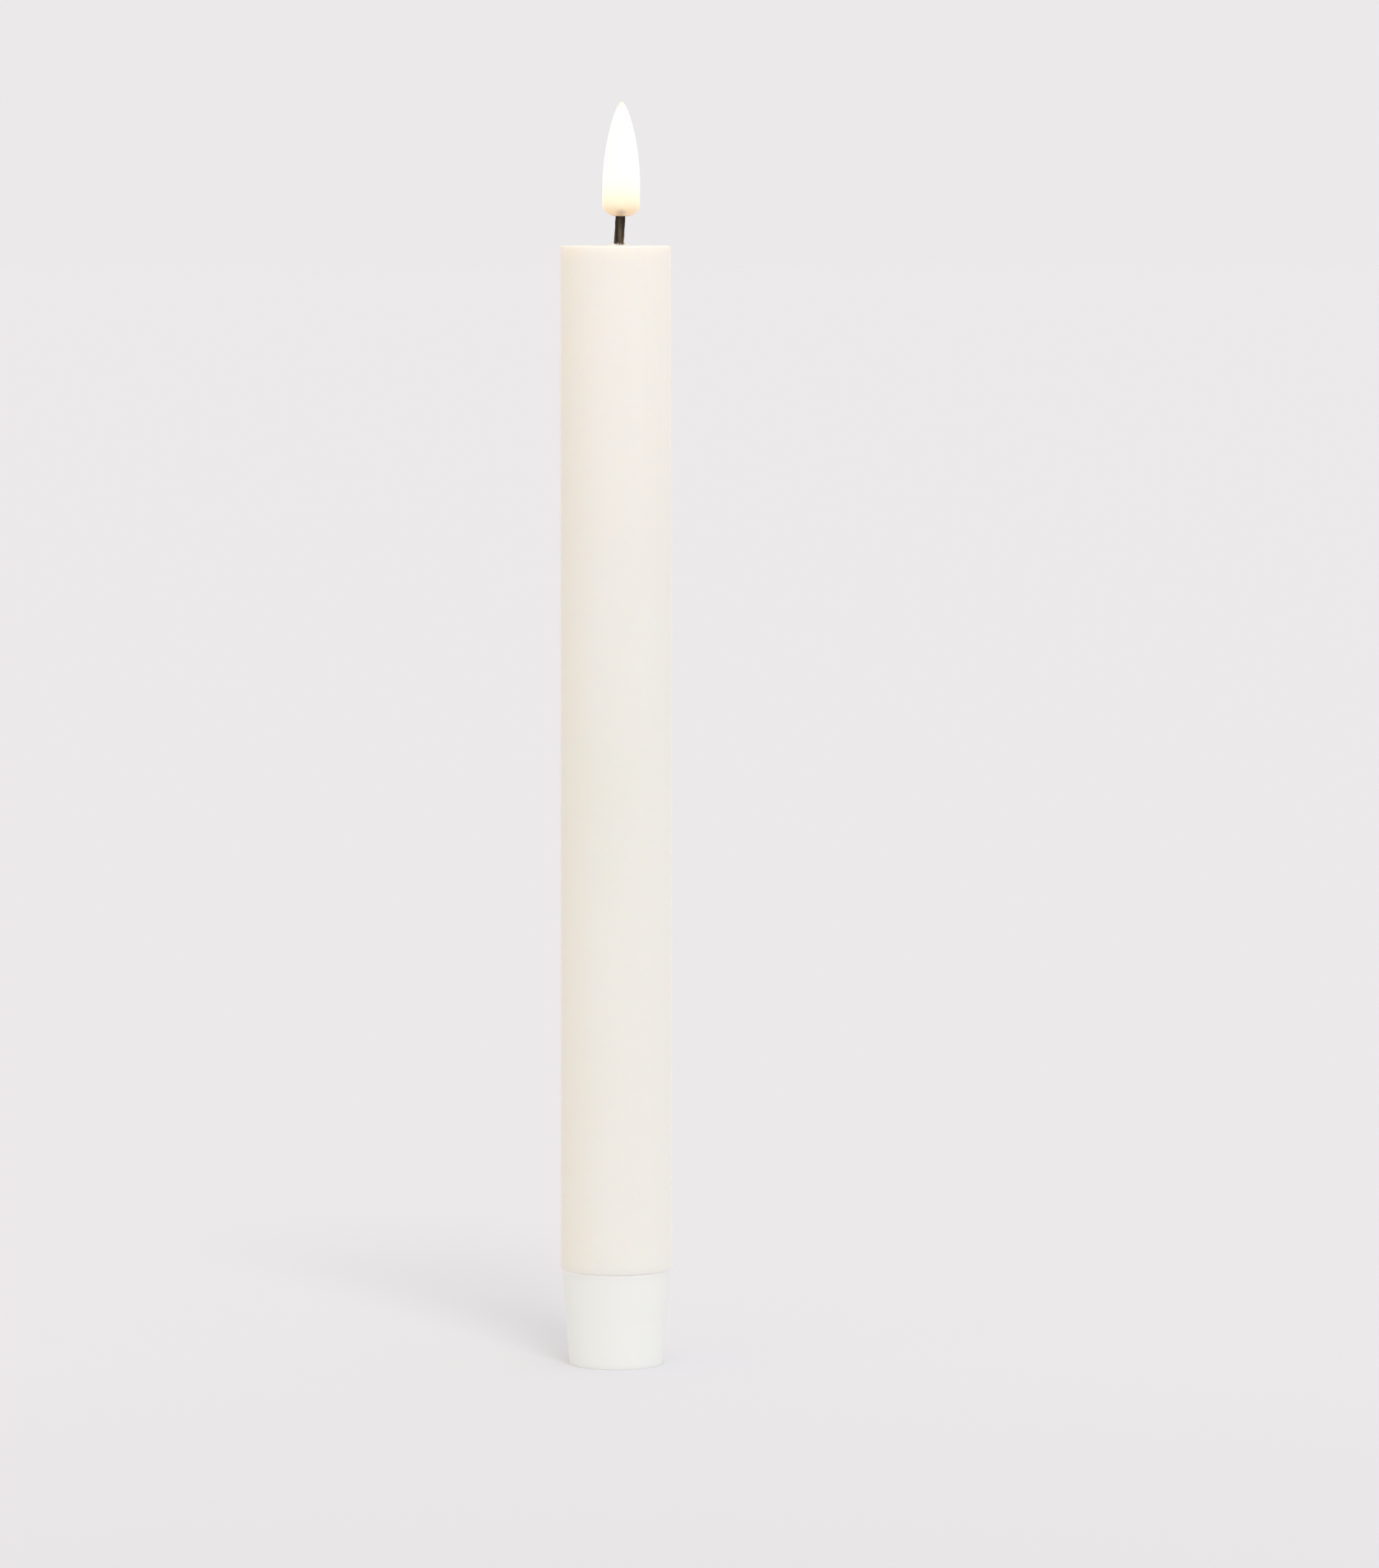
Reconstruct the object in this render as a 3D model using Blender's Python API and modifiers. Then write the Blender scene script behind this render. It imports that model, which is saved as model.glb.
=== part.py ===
"""Flameless taper candle: a wax-coated tube with an LED flame, two AAA cells and a screw-off base.

Metres, +Z up. The origin is the centre of the base's underside, and the candle's axis is Z.
The base turns about Z on a right-hand thread, and as it turns it carries the tail spring and its
seat down the axis. The switch knob slides along X in the underside of the base.
"""

import math

import bmesh
import bpy
from mathutils import Vector

MM = 0.001

# Driving dimensions: the outside.
WAX_TOP_RADIUS = 10.95 * MM
WAX_BOTTOM_RADIUS = 11.1 * MM
WAX_TOP_Z = 223.0 * MM
WAX_BORE = 9.4 * MM
WAX_ROOF = 2.2 * MM
WAX_EDGE = 0.5 * MM
BASE_HEIGHT = 18.9 * MM
BASE_TOP_RADIUS = 10.7 * MM
BASE_BOTTOM_RADIUS = 9.4 * MM
BASE_EDGE = 0.3 * MM
WICK_RADIUS = 1.0 * MM
WICK_BARE_LENGTH = 5.8 * MM
FLAME_HEIGHT = 22.6 * MM
FLAME_RADIUS = 3.7 * MM
FLAME_X = 1.08 * MM
FLAME_LEAN = math.radians(0.5)

# Driving dimensions: the inside.
GAP = 0.3 * MM  # between neighbouring pieces
TUBE_WALL = 1.3 * MM
NECK_LENGTH = 9.0 * MM
NECK_STEP = 0.6 * MM
CELL_RADIUS = 5.25 * MM  # AAA cell
CELL_LENGTH = 44.5 * MM
CELL_BOTTOM_Z = 14.5 * MM
SLEEVE_WALL = 1.0 * MM
SLEEVE_PLAY = 0.35 * MM  # round a cell
SHEET_METAL = 0.4 * MM
BOARD_WIDTH = 11.0 * MM
BOARD_HEIGHT = 26.0 * MM
BOARD_THICKNESS = 1.0 * MM
LED_RADIUS = 1.45 * MM
LED_WIRE_RADIUS = 0.22 * MM

# Driving dimensions: the motion.
THREAD_PITCH = 2.0 * MM
THREAD_RIDGE = 0.5 * MM  # half the ridge's height, and how far it stands out of its wall
THREAD_PLAY = 0.25 * MM
SWITCH_TRAVEL = 4.0 * MM

# Levels and radii that follow from them.
WAX_BOTTOM_Z = BASE_HEIGHT + GAP
TUBE_RADIUS = WAX_BORE - GAP
TUBE_BORE = TUBE_RADIUS - TUBE_WALL
NECK_RADIUS = TUBE_RADIUS - NECK_STEP
NECK_BOTTOM_Z = WAX_BOTTOM_Z - NECK_LENGTH
THREAD_START_Z = NECK_BOTTOM_Z + 2.2 * MM
HOLDER_FLANGE = 1.0 * MM
HOLDER_TOP_Z = WAX_TOP_Z - WAX_ROOF - GAP
TUBE_TOP_Z = HOLDER_TOP_Z - HOLDER_FLANGE - GAP
FLAME_BOTTOM_Z = WAX_TOP_Z + WICK_BARE_LENGTH
UPPER_CELL_Z = CELL_BOTTOM_Z + CELL_LENGTH + GAP
CONTACT_Z = UPPER_CELL_Z + CELL_LENGTH + GAP
SLEEVE_ROOF_Z = CONTACT_Z + SHEET_METAL + GAP
SLEEVE_TOP_Z = SLEEVE_ROOF_Z + 1.4 * MM
SLEEVE_BORE = CELL_RADIUS + SLEEVE_PLAY
SLEEVE_RADIUS = SLEEVE_BORE + SLEEVE_WALL
BOARD_BOTTOM_Z = SLEEVE_TOP_Z + 2.0 * MM
BOARD_TOP_Z = BOARD_BOTTOM_Z + BOARD_HEIGHT

# The base, from its underside up.
RECESS_DEPTH = 0.8 * MM
RECESS_RADIUS = 6.6 * MM
FLOOR_TOP_Z = 2.2 * MM
BASE_BORE = 8.3 * MM
THREAD_BORE = NECK_RADIUS + THREAD_RIDGE + THREAD_PLAY
THREAD_STEP_Z = 9.4 * MM
SWITCH_BOTTOM_Z = FLOOR_TOP_Z + GAP
SWITCH_HEIGHT = 2.7 * MM
SWITCH_BOARD_Z = SWITCH_BOTTOM_Z + SWITCH_HEIGHT + GAP
SWITCH_BOARD_THICKNESS = 0.8 * MM
CARRIER_Z = SWITCH_BOARD_Z + SWITCH_BOARD_THICKNESS + GAP
CARRIER_THICKNESS = 1.2 * MM
CARRIER_TOP_Z = CARRIER_Z + CARRIER_THICKNESS
RING_THICKNESS = 0.3 * MM
BASE_SCREW_Y = 4.9 * MM
SCREW_RADIUS = 0.75 * MM
SCREW_HEAD_RADIUS = 1.5 * MM
SCREW_HEAD_HEIGHT = 0.6 * MM
COUNTERBORE_TOP_Z = RECESS_DEPTH + 0.55 * MM
SPRING_WIRE = 0.3 * MM
KNOB_WIDTH = 1.8 * MM
KNOB_SLOT_LENGTH = SWITCH_TRAVEL + KNOB_WIDTH + 2 * GAP
KNOB_SLOT_WIDTH = 2.2 * MM

# name: (base colour, roughness, metallic)
FINISHES = {
    "ivory_wax": ((0.88, 0.83, 0.73), 0.42, 0.0),
    "white_plastic": ((0.86, 0.84, 0.79), 0.38, 0.0),
    "natural_plastic": ((0.80, 0.79, 0.74), 0.50, 0.0),
    "black_sleeve": ((0.055, 0.042, 0.030), 0.60, 0.0),
    "flame_resin": ((1.00, 0.86, 0.60), 0.30, 0.0),
    "led_epoxy": ((1.00, 0.90, 0.62), 0.15, 0.0),
    "circuit_board": ((0.02, 0.16, 0.07), 0.45, 0.0),
    "chip_epoxy": ((0.02, 0.02, 0.02), 0.50, 0.0),
    "ceramic_chip": ((0.42, 0.30, 0.18), 0.45, 0.0),
    "tinned_steel": ((0.72, 0.72, 0.70), 0.28, 1.0),
    "nickel_plate": ((0.70, 0.68, 0.62), 0.25, 1.0),
    "brass": ((0.78, 0.60, 0.28), 0.28, 1.0),
    "cell_wrapper": ((0.10, 0.11, 0.13), 0.35, 0.6),
    "red_insulation": ((0.55, 0.03, 0.02), 0.45, 0.0),
    "black_insulation": ((0.02, 0.02, 0.02), 0.45, 0.0),
    "black_plastic": ((0.03, 0.03, 0.03), 0.40, 0.0),
}

ROUND_STEPS = 64
FLAME_STEPS = 48
INNER_STEPS = 32
SMALL_STEPS = 24
SHARP_ANGLE = math.radians(32)


def clear_scene():
    for obj in list(bpy.data.objects):
        bpy.data.objects.remove(obj, do_unlink=True)


def collection(name):
    made = bpy.data.collections.new(name)
    bpy.context.scene.collection.children.link(made)
    return made


clear_scene()
CANDLE = collection("flameless_taper_candle")
CUTTERS = collection("cutters")


def material(name):
    """The Principled material of this name in FINISHES, made once."""
    if name in bpy.data.materials:
        return bpy.data.materials[name]
    colour, roughness, metallic = FINISHES[name]
    made = bpy.data.materials.new(name)
    made.use_nodes = True
    shader = made.node_tree.nodes["Principled BSDF"]
    shader.inputs["Base Color"].default_value = (*colour, 1.0)
    shader.inputs["Roughness"].default_value = roughness
    shader.inputs["Metallic"].default_value = metallic
    return made


def add(name, data, finish, parent=None):
    """A sub-part of the candle."""
    data.materials.append(material(finish))
    obj = bpy.data.objects.new(name, data)
    CANDLE.objects.link(obj)
    obj.parent = parent
    return obj


def add_cutter(name, data):
    """A helper that shapes another piece and isn't part of the candle."""
    obj = bpy.data.objects.new(name, data)
    CUTTERS.objects.link(obj)
    obj.hide_render = True
    obj.display_type = "WIRE"
    return obj


def joint_axis(name, location, parent=None):
    """An empty on the axis of a joint, which the pieces that move with it are parented to."""
    empty = bpy.data.objects.new(name, None)
    CANDLE.objects.link(empty)
    empty.empty_display_size = 5 * MM
    empty.parent = parent
    empty.location = location
    return empty


def box_mesh(name, size, centre, bevel=0.0):
    bm = bmesh.new()
    bmesh.ops.create_cube(bm, size=1.0)
    bmesh.ops.scale(bm, vec=size, verts=bm.verts)
    if bevel:
        bmesh.ops.bevel(
            bm, geom=bm.edges[:], offset=bevel, offset_type="OFFSET", segments=1, profile=0.5, affect="EDGES"
        )
    bmesh.ops.translate(bm, vec=centre, verts=bm.verts)
    mesh = bpy.data.meshes.new(name)
    bm.to_mesh(mesh)
    bm.free()
    return mesh


def cylinder_mesh(name, radius, bottom, top, at=(0.0, 0.0), segments=SMALL_STEPS):
    """An upright cylinder between two levels, round the point at in plan."""
    bm = bmesh.new()
    bmesh.ops.create_cone(
        bm, cap_ends=True, segments=segments, radius1=radius, radius2=radius, depth=top - bottom
    )
    bmesh.ops.translate(bm, vec=(at[0], at[1], (top + bottom) / 2), verts=bm.verts)
    mesh = bpy.data.meshes.new(name)
    bm.to_mesh(mesh)
    bm.free()
    return mesh


def profile_mesh(name, points, ring):
    """(radius, height) points as a chain of edges, joined into a loop where the turned piece has a bore."""
    mesh = bpy.data.meshes.new(name)
    edges = [(i, i + 1) for i in range(len(points) - 1)]
    if ring:
        edges.append((len(points) - 1, 0))
    mesh.from_pydata([(radius, 0.0, height) for radius, height in points], edges, [])
    return mesh


def turned(name, finish, points, ring=False, steps=ROUND_STEPS, parent=None):
    """A turned piece: its profile runs down the outer side, and a ring's back up the inner side."""
    obj = add(name, profile_mesh(name, points, ring), finish, parent)
    screw = obj.modifiers.new("Turn", "SCREW")
    screw.axis = "Z"
    screw.steps = steps
    screw.render_steps = steps
    screw.use_merge_vertices = True
    screw.merge_threshold = 0.01 * MM
    return obj


def arc(centre, radius, start, end, steps):
    """Points of a profile's rounded corner, between two angles in degrees from the outward direction."""
    angles = [math.radians(start + (end - start) * i / steps) for i in range(steps + 1)]
    return [(centre[0] + radius * math.cos(a), centre[1] + radius * math.sin(a)) for a in angles]


def boolean(obj, other, operation):
    modifier = obj.modifiers.new(other.name, "BOOLEAN")
    modifier.operation = operation
    modifier.solver = "EXACT"
    modifier.object = other


def cut(obj, cutter):
    boolean(obj, cutter, "DIFFERENCE")


def join(obj, other):
    boolean(obj, other, "UNION")


def rod_curve(name, points, radius, scales=None):
    """A rod of round section along the points, with closed ends; scales thin it point by point."""
    curve = bpy.data.curves.new(name, "CURVE")
    curve.dimensions = "3D"
    curve.bevel_depth = radius
    curve.bevel_resolution = 2
    curve.use_fill_caps = True
    spline = curve.splines.new("POLY")
    spline.points.add(len(points) - 1)
    for i, point in enumerate(points):
        spline.points[i].co = (*point, 1.0)
        spline.points[i].radius = scales[i] if scales else 1.0
    return curve


def rod(name, finish, points, radius, parent=None):
    return add(name, rod_curve(name, points, radius), finish, parent)


def rod_mesh(name, points, radius, scales=None):
    """The same rod as a closed mesh, for cutting or joining."""
    guide = bpy.data.objects.new(name, rod_curve(name, points, radius, scales))
    CUTTERS.objects.link(guide)
    graph = bpy.context.evaluated_depsgraph_get()
    mesh = bpy.data.meshes.new_from_object(guide.evaluated_get(graph))
    bpy.data.objects.remove(guide, do_unlink=True)
    bm = bmesh.new()
    bm.from_mesh(mesh)
    bmesh.ops.remove_doubles(bm, verts=bm.verts, dist=0.001 * MM)
    bm.to_mesh(mesh)
    bm.free()
    return mesh


def smooth_route(knots, count):
    """Evenly counted points on a Catmull-Rom curve through the knots."""
    knots = [Vector(knot) for knot in knots]
    ends = [2 * knots[0] - knots[1], *knots, 2 * knots[-1] - knots[-2]]
    points = []
    for i in range(count):
        place = i / (count - 1) * (len(knots) - 1)
        k = min(int(place), len(knots) - 2)
        t = place - k
        a, b, c, d = ends[k : k + 4]
        bend = (2 * a - 5 * b + 4 * c - d) * t * t + (3 * b - a - 3 * c + d) * t**3
        points.append((2 * b + (c - a) * t + bend) / 2)
    return points


def wick_x(z):
    """The wick's sideways place at a height: it leans as it leaves the wax and straightens in the flame."""
    reach, middle, spread = 1.3 * MM, WAX_TOP_Z + 0.7 * MM, 4.6 * MM
    return reach / (1 + math.exp((middle - z) / spread))


def wick_path(bottom, top, count):
    heights = [bottom + (top - bottom) * i / (count - 1) for i in range(count)]
    return [Vector((wick_x(z), 0.0, z)) for z in heights]


# The top: wax, tube, wick and flame.


def make_wax_shell():
    """The wax coat: a tapering side, a roof with a hole for the wick, and an open foot over the base."""
    foot_chamfer = 0.2 * MM
    points = [(0.0, WAX_TOP_Z)]
    points += arc((WAX_TOP_RADIUS - WAX_EDGE, WAX_TOP_Z - WAX_EDGE), WAX_EDGE, 90, 0, 3)
    points += [
        (WAX_BOTTOM_RADIUS, WAX_BOTTOM_Z + foot_chamfer),
        (WAX_BOTTOM_RADIUS - foot_chamfer, WAX_BOTTOM_Z),
        (WAX_BORE, WAX_BOTTOM_Z),
        (WAX_BORE, WAX_TOP_Z - WAX_ROOF),
        (0.0, WAX_TOP_Z - WAX_ROOF),
    ]
    shell = turned("wax_shell", "ivory_wax", points)
    hole_x = wick_x(WAX_TOP_Z - WAX_ROOF / 2)
    hole_bottom, hole_top = WAX_TOP_Z - 2 * WAX_ROOF, WAX_TOP_Z + WAX_ROOF
    hole = cylinder_mesh("wick_hole", WICK_RADIUS + GAP, hole_bottom, hole_top, (hole_x, 0.0))
    cut(shell, add_cutter("wick_hole", hole))


def make_core_tube():
    """The plastic tube that the wax coats, with a threaded neck for the base."""
    points = [
        (TUBE_RADIUS, TUBE_TOP_Z),
        (TUBE_RADIUS, WAX_BOTTOM_Z),
        (NECK_RADIUS, WAX_BOTTOM_Z),
        (NECK_RADIUS, NECK_BOTTOM_Z),
        (TUBE_BORE, NECK_BOTTOM_Z),
        (TUBE_BORE, TUBE_TOP_Z),
    ]
    tube = turned("core_tube", "natural_plastic", points, ring=True)
    join(tube, thread_ridge("neck_thread", NECK_RADIUS, THREAD_START_Z, 1.25))


def thread_ridge(name, radius, start_z, turns):
    """A right-hand ridge of round section whose ends run out to nothing."""
    steps_per_turn, end_scale, growth = 36, 0.3, 0.2
    steps = round(turns * steps_per_turn)
    angles = [math.tau * turns * i / steps for i in range(steps + 1)]
    points = [
        (radius * math.cos(a), radius * math.sin(a), start_z + THREAD_PITCH * a / math.tau) for a in angles
    ]
    scales = [min(1.0, end_scale + growth * min(i, steps - i)) for i in range(steps + 1)]
    return add_cutter(name, rod_mesh(name, points, THREAD_RIDGE, scales))


def make_wick_holder():
    """The plug in the top of the tube: a flanged cup with a boss round the wick."""
    depth, web_depth, wall = 4.7 * MM, 0.9 * MM, 1.0 * MM
    bore, boss = 1.8 * MM, 3.3 * MM
    spigot, flange = TUBE_BORE - GAP, TUBE_RADIUS - 0.2 * MM
    bottom, web = TUBE_TOP_Z - depth, TUBE_TOP_Z - web_depth
    flange_bottom = HOLDER_TOP_Z - HOLDER_FLANGE
    points = [
        (bore, HOLDER_TOP_Z),
        (flange, HOLDER_TOP_Z),
        (flange, flange_bottom),
        (spigot, flange_bottom),
        (spigot, bottom),
        (spigot - wall, bottom),
        (spigot - wall, web),
        (boss, web),
        (boss, bottom),
        (bore, bottom),
    ]
    turned("wick_holder", "natural_plastic", points, ring=True, steps=INNER_STEPS)


def make_wick_sleeve():
    """The bent black tube between the candle's top and the flame, with both LED wires in its bore."""
    bottom, top = TUBE_TOP_Z - 3.0 * MM, FLAME_BOTTOM_Z + 1.7 * MM
    bore_radius, overshoot = 0.72 * MM, 1 * MM
    path = wick_path(bottom, top, 14)
    sleeve = add("wick_sleeve", rod_mesh("wick_sleeve", path, WICK_RADIUS), "black_sleeve")
    bore = wick_path(bottom - overshoot, top + overshoot, 16)
    cut(sleeve, add_cutter("wick_bore", rod_mesh("wick_bore", bore, bore_radius)))


def flame_side():
    """The flame's outer profile from its tip down: an ogive, a short straight and a bowed bottom."""
    ogive_depth, sharpness, steps, crowding = 17.0 * MM, 0.63, 11, 1.5
    side = [(0.0, FLAME_HEIGHT)]
    for i in range(1, steps + 1):
        depth = ogive_depth * (i / steps) ** crowding
        radius = FLAME_RADIUS * math.sin(math.pi / 2 * depth / ogive_depth) ** sharpness
        side.append((radius, FLAME_HEIGHT - depth))
    bottom_depth, squareness, bottom_steps = 2.1 * MM, 1.75, 6
    middle = WICK_RADIUS + GAP
    for i in range(bottom_steps):
        angle = math.pi / 2 * i / bottom_steps
        radius = middle + (FLAME_RADIUS - middle) * math.cos(angle) ** (2 / squareness)
        side.append((radius, bottom_depth * (1 - math.sin(angle) ** (2 / squareness))))
    return side


def make_flame():
    """The flame-shaped lens, hollow round the LED, with a socket for the wick."""
    socket, socket_depth = WICK_RADIUS + GAP, 2.0 * MM
    cavity = LED_RADIUS + 0.35 * MM
    dome_z = 6.5 * MM
    points = flame_side() + [(socket, 0.0), (socket, socket_depth), (cavity, socket_depth)]
    points += [(r, z) for r, z in arc((0.0, dome_z), cavity, 0, 90, 5)]
    points[-1] = (0.0, dome_z + cavity)
    flame = turned("flame_lens", "flame_resin", points, steps=FLAME_STEPS)
    flame.location = (FLAME_X, 0.0, FLAME_BOTTOM_Z)
    flame.rotation_euler = (0.0, FLAME_LEAN, 0.0)


def make_led():
    """A round-nosed LED that stands in the flame's hollow."""
    flat_z, dome_z = 2.4 * MM, 6.4 * MM
    points = [(r, z) for r, z in arc((0.0, dome_z), LED_RADIUS, 90, 0, 5)]
    points[0] = (0.0, dome_z + LED_RADIUS)
    points += [(LED_RADIUS, flat_z), (0.0, flat_z)]
    led = turned("led", "led_epoxy", points, steps=SMALL_STEPS)
    led.location = (FLAME_X, 0.0, FLAME_BOTTOM_Z)
    led.rotation_euler = (0.0, FLAME_LEAN, 0.0)


def make_led_wire(name, finish, side):
    """A thin wire from the control board's face up the tube and through the wick to the LED."""
    bottom, top, count = BOARD_TOP_Z - 4.0 * MM, FLAME_BOTTOM_Z + 2.0 * MM, 34
    straight_z = TUBE_TOP_Z - 6.0 * MM
    apart_in_wick, apart_in_tube, sway, half_waves = 0.31 * MM, 1.2 * MM, 1.1 * MM, 2.5
    points = []
    for i in range(count):
        z = bottom + (top - bottom) * i / (count - 1)
        rise = (z - bottom) / (straight_z - bottom)
        slack = max(0.0, 1.0 - rise)
        apart = apart_in_wick + apart_in_tube * slack * slack
        y = -sway * slack * math.cos(half_waves * math.pi * rise)
        points.append((wick_x(z) + side * apart, y, z))
    rod(name, finish, points, LED_WIRE_RADIUS)


# The middle: cells, their sleeve and contacts, and the control board.


def make_cell(name, bottom):
    """An AAA cell with its nub upwards."""
    shoulder, crimp = CELL_LENGTH - 0.9 * MM, 0.6 * MM
    nub, nub_edge = 1.9 * MM, 0.2 * MM
    foot, foot_rise = 3.5 * MM, 0.2 * MM
    points = [
        (0.0, CELL_LENGTH),
        (nub - nub_edge, CELL_LENGTH),
        (nub, CELL_LENGTH - nub_edge),
        (nub, shoulder),
        (CELL_RADIUS - crimp, shoulder),
        (CELL_RADIUS, shoulder - crimp),
        (CELL_RADIUS, crimp),
        (CELL_RADIUS - crimp, foot_rise),
        (foot, 0.0),
        (0.0, 0.0),
    ]
    turned(name, "cell_wrapper", points, steps=INNER_STEPS).location.z = bottom


def make_battery_sleeve():
    """The tube round the cells, with three locating flanges and two grooved posts for the control board."""
    bottom = NECK_BOTTOM_Z + 6 * MM
    flange, thick, rivet_hole = TUBE_BORE - GAP, 1.2 * MM, 1.0 * MM
    middle_flange, lower_flange = SLEEVE_TOP_Z - 40 * MM, bottom + 4 * MM
    points = [(rivet_hole, SLEEVE_TOP_Z), (flange, SLEEVE_TOP_Z), (flange, SLEEVE_TOP_Z - thick)]
    for level in (middle_flange, lower_flange):
        points += [
            (SLEEVE_RADIUS, points[-1][1]),
            (SLEEVE_RADIUS, level + thick),
            (flange, level + thick),
            (flange, level),
        ]
    points += [
        (SLEEVE_RADIUS, points[-1][1]),
        (SLEEVE_RADIUS, bottom),
        (SLEEVE_BORE, bottom),
        (SLEEVE_BORE, SLEEVE_ROOF_Z),
        (rivet_hole, SLEEVE_ROOF_Z),
    ]
    sleeve = turned("battery_sleeve", "natural_plastic", points, ring=True, steps=INNER_STEPS)
    groove_depth, groove_size = 0.15 * MM, Vector((3.6, 2.0, 120.0)) * MM
    groove_y = SLEEVE_RADIUS - groove_depth + groove_size.y / 2
    groove = box_mesh("strip_groove", groove_size, (0.0, groove_y, SLEEVE_TOP_Z - 55 * MM))
    cut(sleeve, add_cutter("strip_groove", groove))
    post_size, post_x, post_z = Vector((2.2, 3.2, 7.2)) * MM, 5.9 * MM, SLEEVE_TOP_Z + 3.4 * MM
    for side in (-1, 1):
        post = box_mesh(f"post_{side}", post_size, (side * post_x, 0.0, post_z))
        join(sleeve, add_cutter(f"board_post_{side}", post))
    slot_size = (BOARD_WIDTH + 2 * GAP, BOARD_THICKNESS + 2 * GAP, BOARD_HEIGHT)
    slot_centre = (0.0, 0.0, BOARD_BOTTOM_Z - GAP + BOARD_HEIGHT / 2)
    cut(sleeve, add_cutter("board_slot", box_mesh("board_slot", slot_size, slot_centre)))


def make_positive_contact():
    """A plate on the upper cell's nub, riveted through the sleeve's roof."""
    plate, rivet, rivet_rise = 3.5 * MM, 0.6 * MM, 0.6 * MM
    top = SLEEVE_TOP_Z + rivet_rise
    points = [
        (0.0, top),
        (rivet, top),
        (rivet, CONTACT_Z + SHEET_METAL),
        (plate, CONTACT_Z + SHEET_METAL),
        (plate, CONTACT_Z),
        (0.0, CONTACT_Z),
    ]
    turned("positive_contact", "nickel_plate", points, steps=SMALL_STEPS)


def make_negative_strip():
    """A long metal strip down the sleeve's side: a foot over the base's contact ring, a tab at the board."""
    inner = SLEEVE_RADIUS + 0.35 * MM
    outer = inner + SHEET_METAL
    half_width, foot_end = 1.5 * MM, 6.3 * MM
    foot_z = CARRIER_TOP_Z + 2 * GAP + RING_THICKNESS
    tab_z = BOARD_BOTTOM_Z + 7 * MM
    tab_end = BOARD_THICKNESS / 2 + GAP
    outline = [
        (foot_end, foot_z),
        (outer, foot_z),
        (outer, tab_z),
        (tab_end, tab_z),
        (tab_end, tab_z - SHEET_METAL),
        (inner, tab_z - SHEET_METAL),
        (inner, foot_z + SHEET_METAL),
        (foot_end, foot_z + SHEET_METAL),
    ]
    curve = bpy.data.curves.new("negative_strip", "CURVE")
    curve.dimensions = "2D"
    curve.fill_mode = "BOTH"
    curve.extrude = half_width
    spline = curve.splines.new("POLY")
    spline.points.add(len(outline) - 1)
    for point, (y, z) in zip(spline.points, outline):
        point.co = (y, z, 0.0, 1.0)
    spline.use_cyclic_u = True
    strip = add("negative_strip", curve, "nickel_plate")
    strip.rotation_euler = (math.pi / 2, 0.0, math.pi / 2)


def make_control_board():
    """The upright board in the sleeve's posts, and the four components on its front face."""
    size = (BOARD_WIDTH, BOARD_THICKNESS, BOARD_HEIGHT)
    centre = (0.0, 0.0, BOARD_BOTTOM_Z + BOARD_HEIGHT / 2)
    add("control_board", box_mesh("control_board", size, centre), "circuit_board")
    front, chip_edge = -BOARD_THICKNESS / 2 - GAP, 0.12 * MM
    chip_z = BOARD_BOTTOM_Z + 14.5 * MM
    parts = (
        ("controller_chip", (5.0, 1.5, 4.0), -1.6, chip_z, "chip_epoxy"),
        ("board_capacitor", (3.2, 1.6, 1.6), 1.0, chip_z - 4.2 * MM, "ceramic_chip"),
        ("board_resistor", (1.25, 0.6, 2.0), -3.6, chip_z + 4.6 * MM, "chip_epoxy"),
    )
    for name, size_mm, x_mm, z, finish in parts:
        size = Vector(size_mm) * MM
        centre = (x_mm * MM, front - size.y / 2, z)
        add(name, box_mesh(name, size, centre, bevel=chip_edge), finish)
    crystal_radius, crystal_bottom, crystal_length = 1.0 * MM, chip_z - 2.5 * MM, 5.5 * MM
    place = (3.6 * MM, front - crystal_radius)
    top = crystal_bottom + crystal_length
    crystal = cylinder_mesh("timer_crystal", crystal_radius, crystal_bottom, top, place, 16)
    add("timer_crystal", crystal, "tinned_steel")


def make_battery_wire():
    """The short lead from the positive contact's rivet to the control board's front face."""
    low, cover_radius = SLEEVE_TOP_Z + 0.9 * MM, 0.45 * MM
    knots = [
        (0.0, -1.2 * MM, low),
        (-0.6 * MM, -2.4 * MM, low + 0.4 * MM),
        (-1.6 * MM, -2.9 * MM, low + 2.6 * MM),
        (-2.0 * MM, -1.9 * MM, low + 4.6 * MM),
        (-2.0 * MM, -1.3 * MM, low + 6.0 * MM),
    ]
    rod("battery_wire", "red_insulation", smooth_route(knots, 13), cover_radius)


# The base, which turns, and the spring in it, which only rises and falls.


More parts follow.
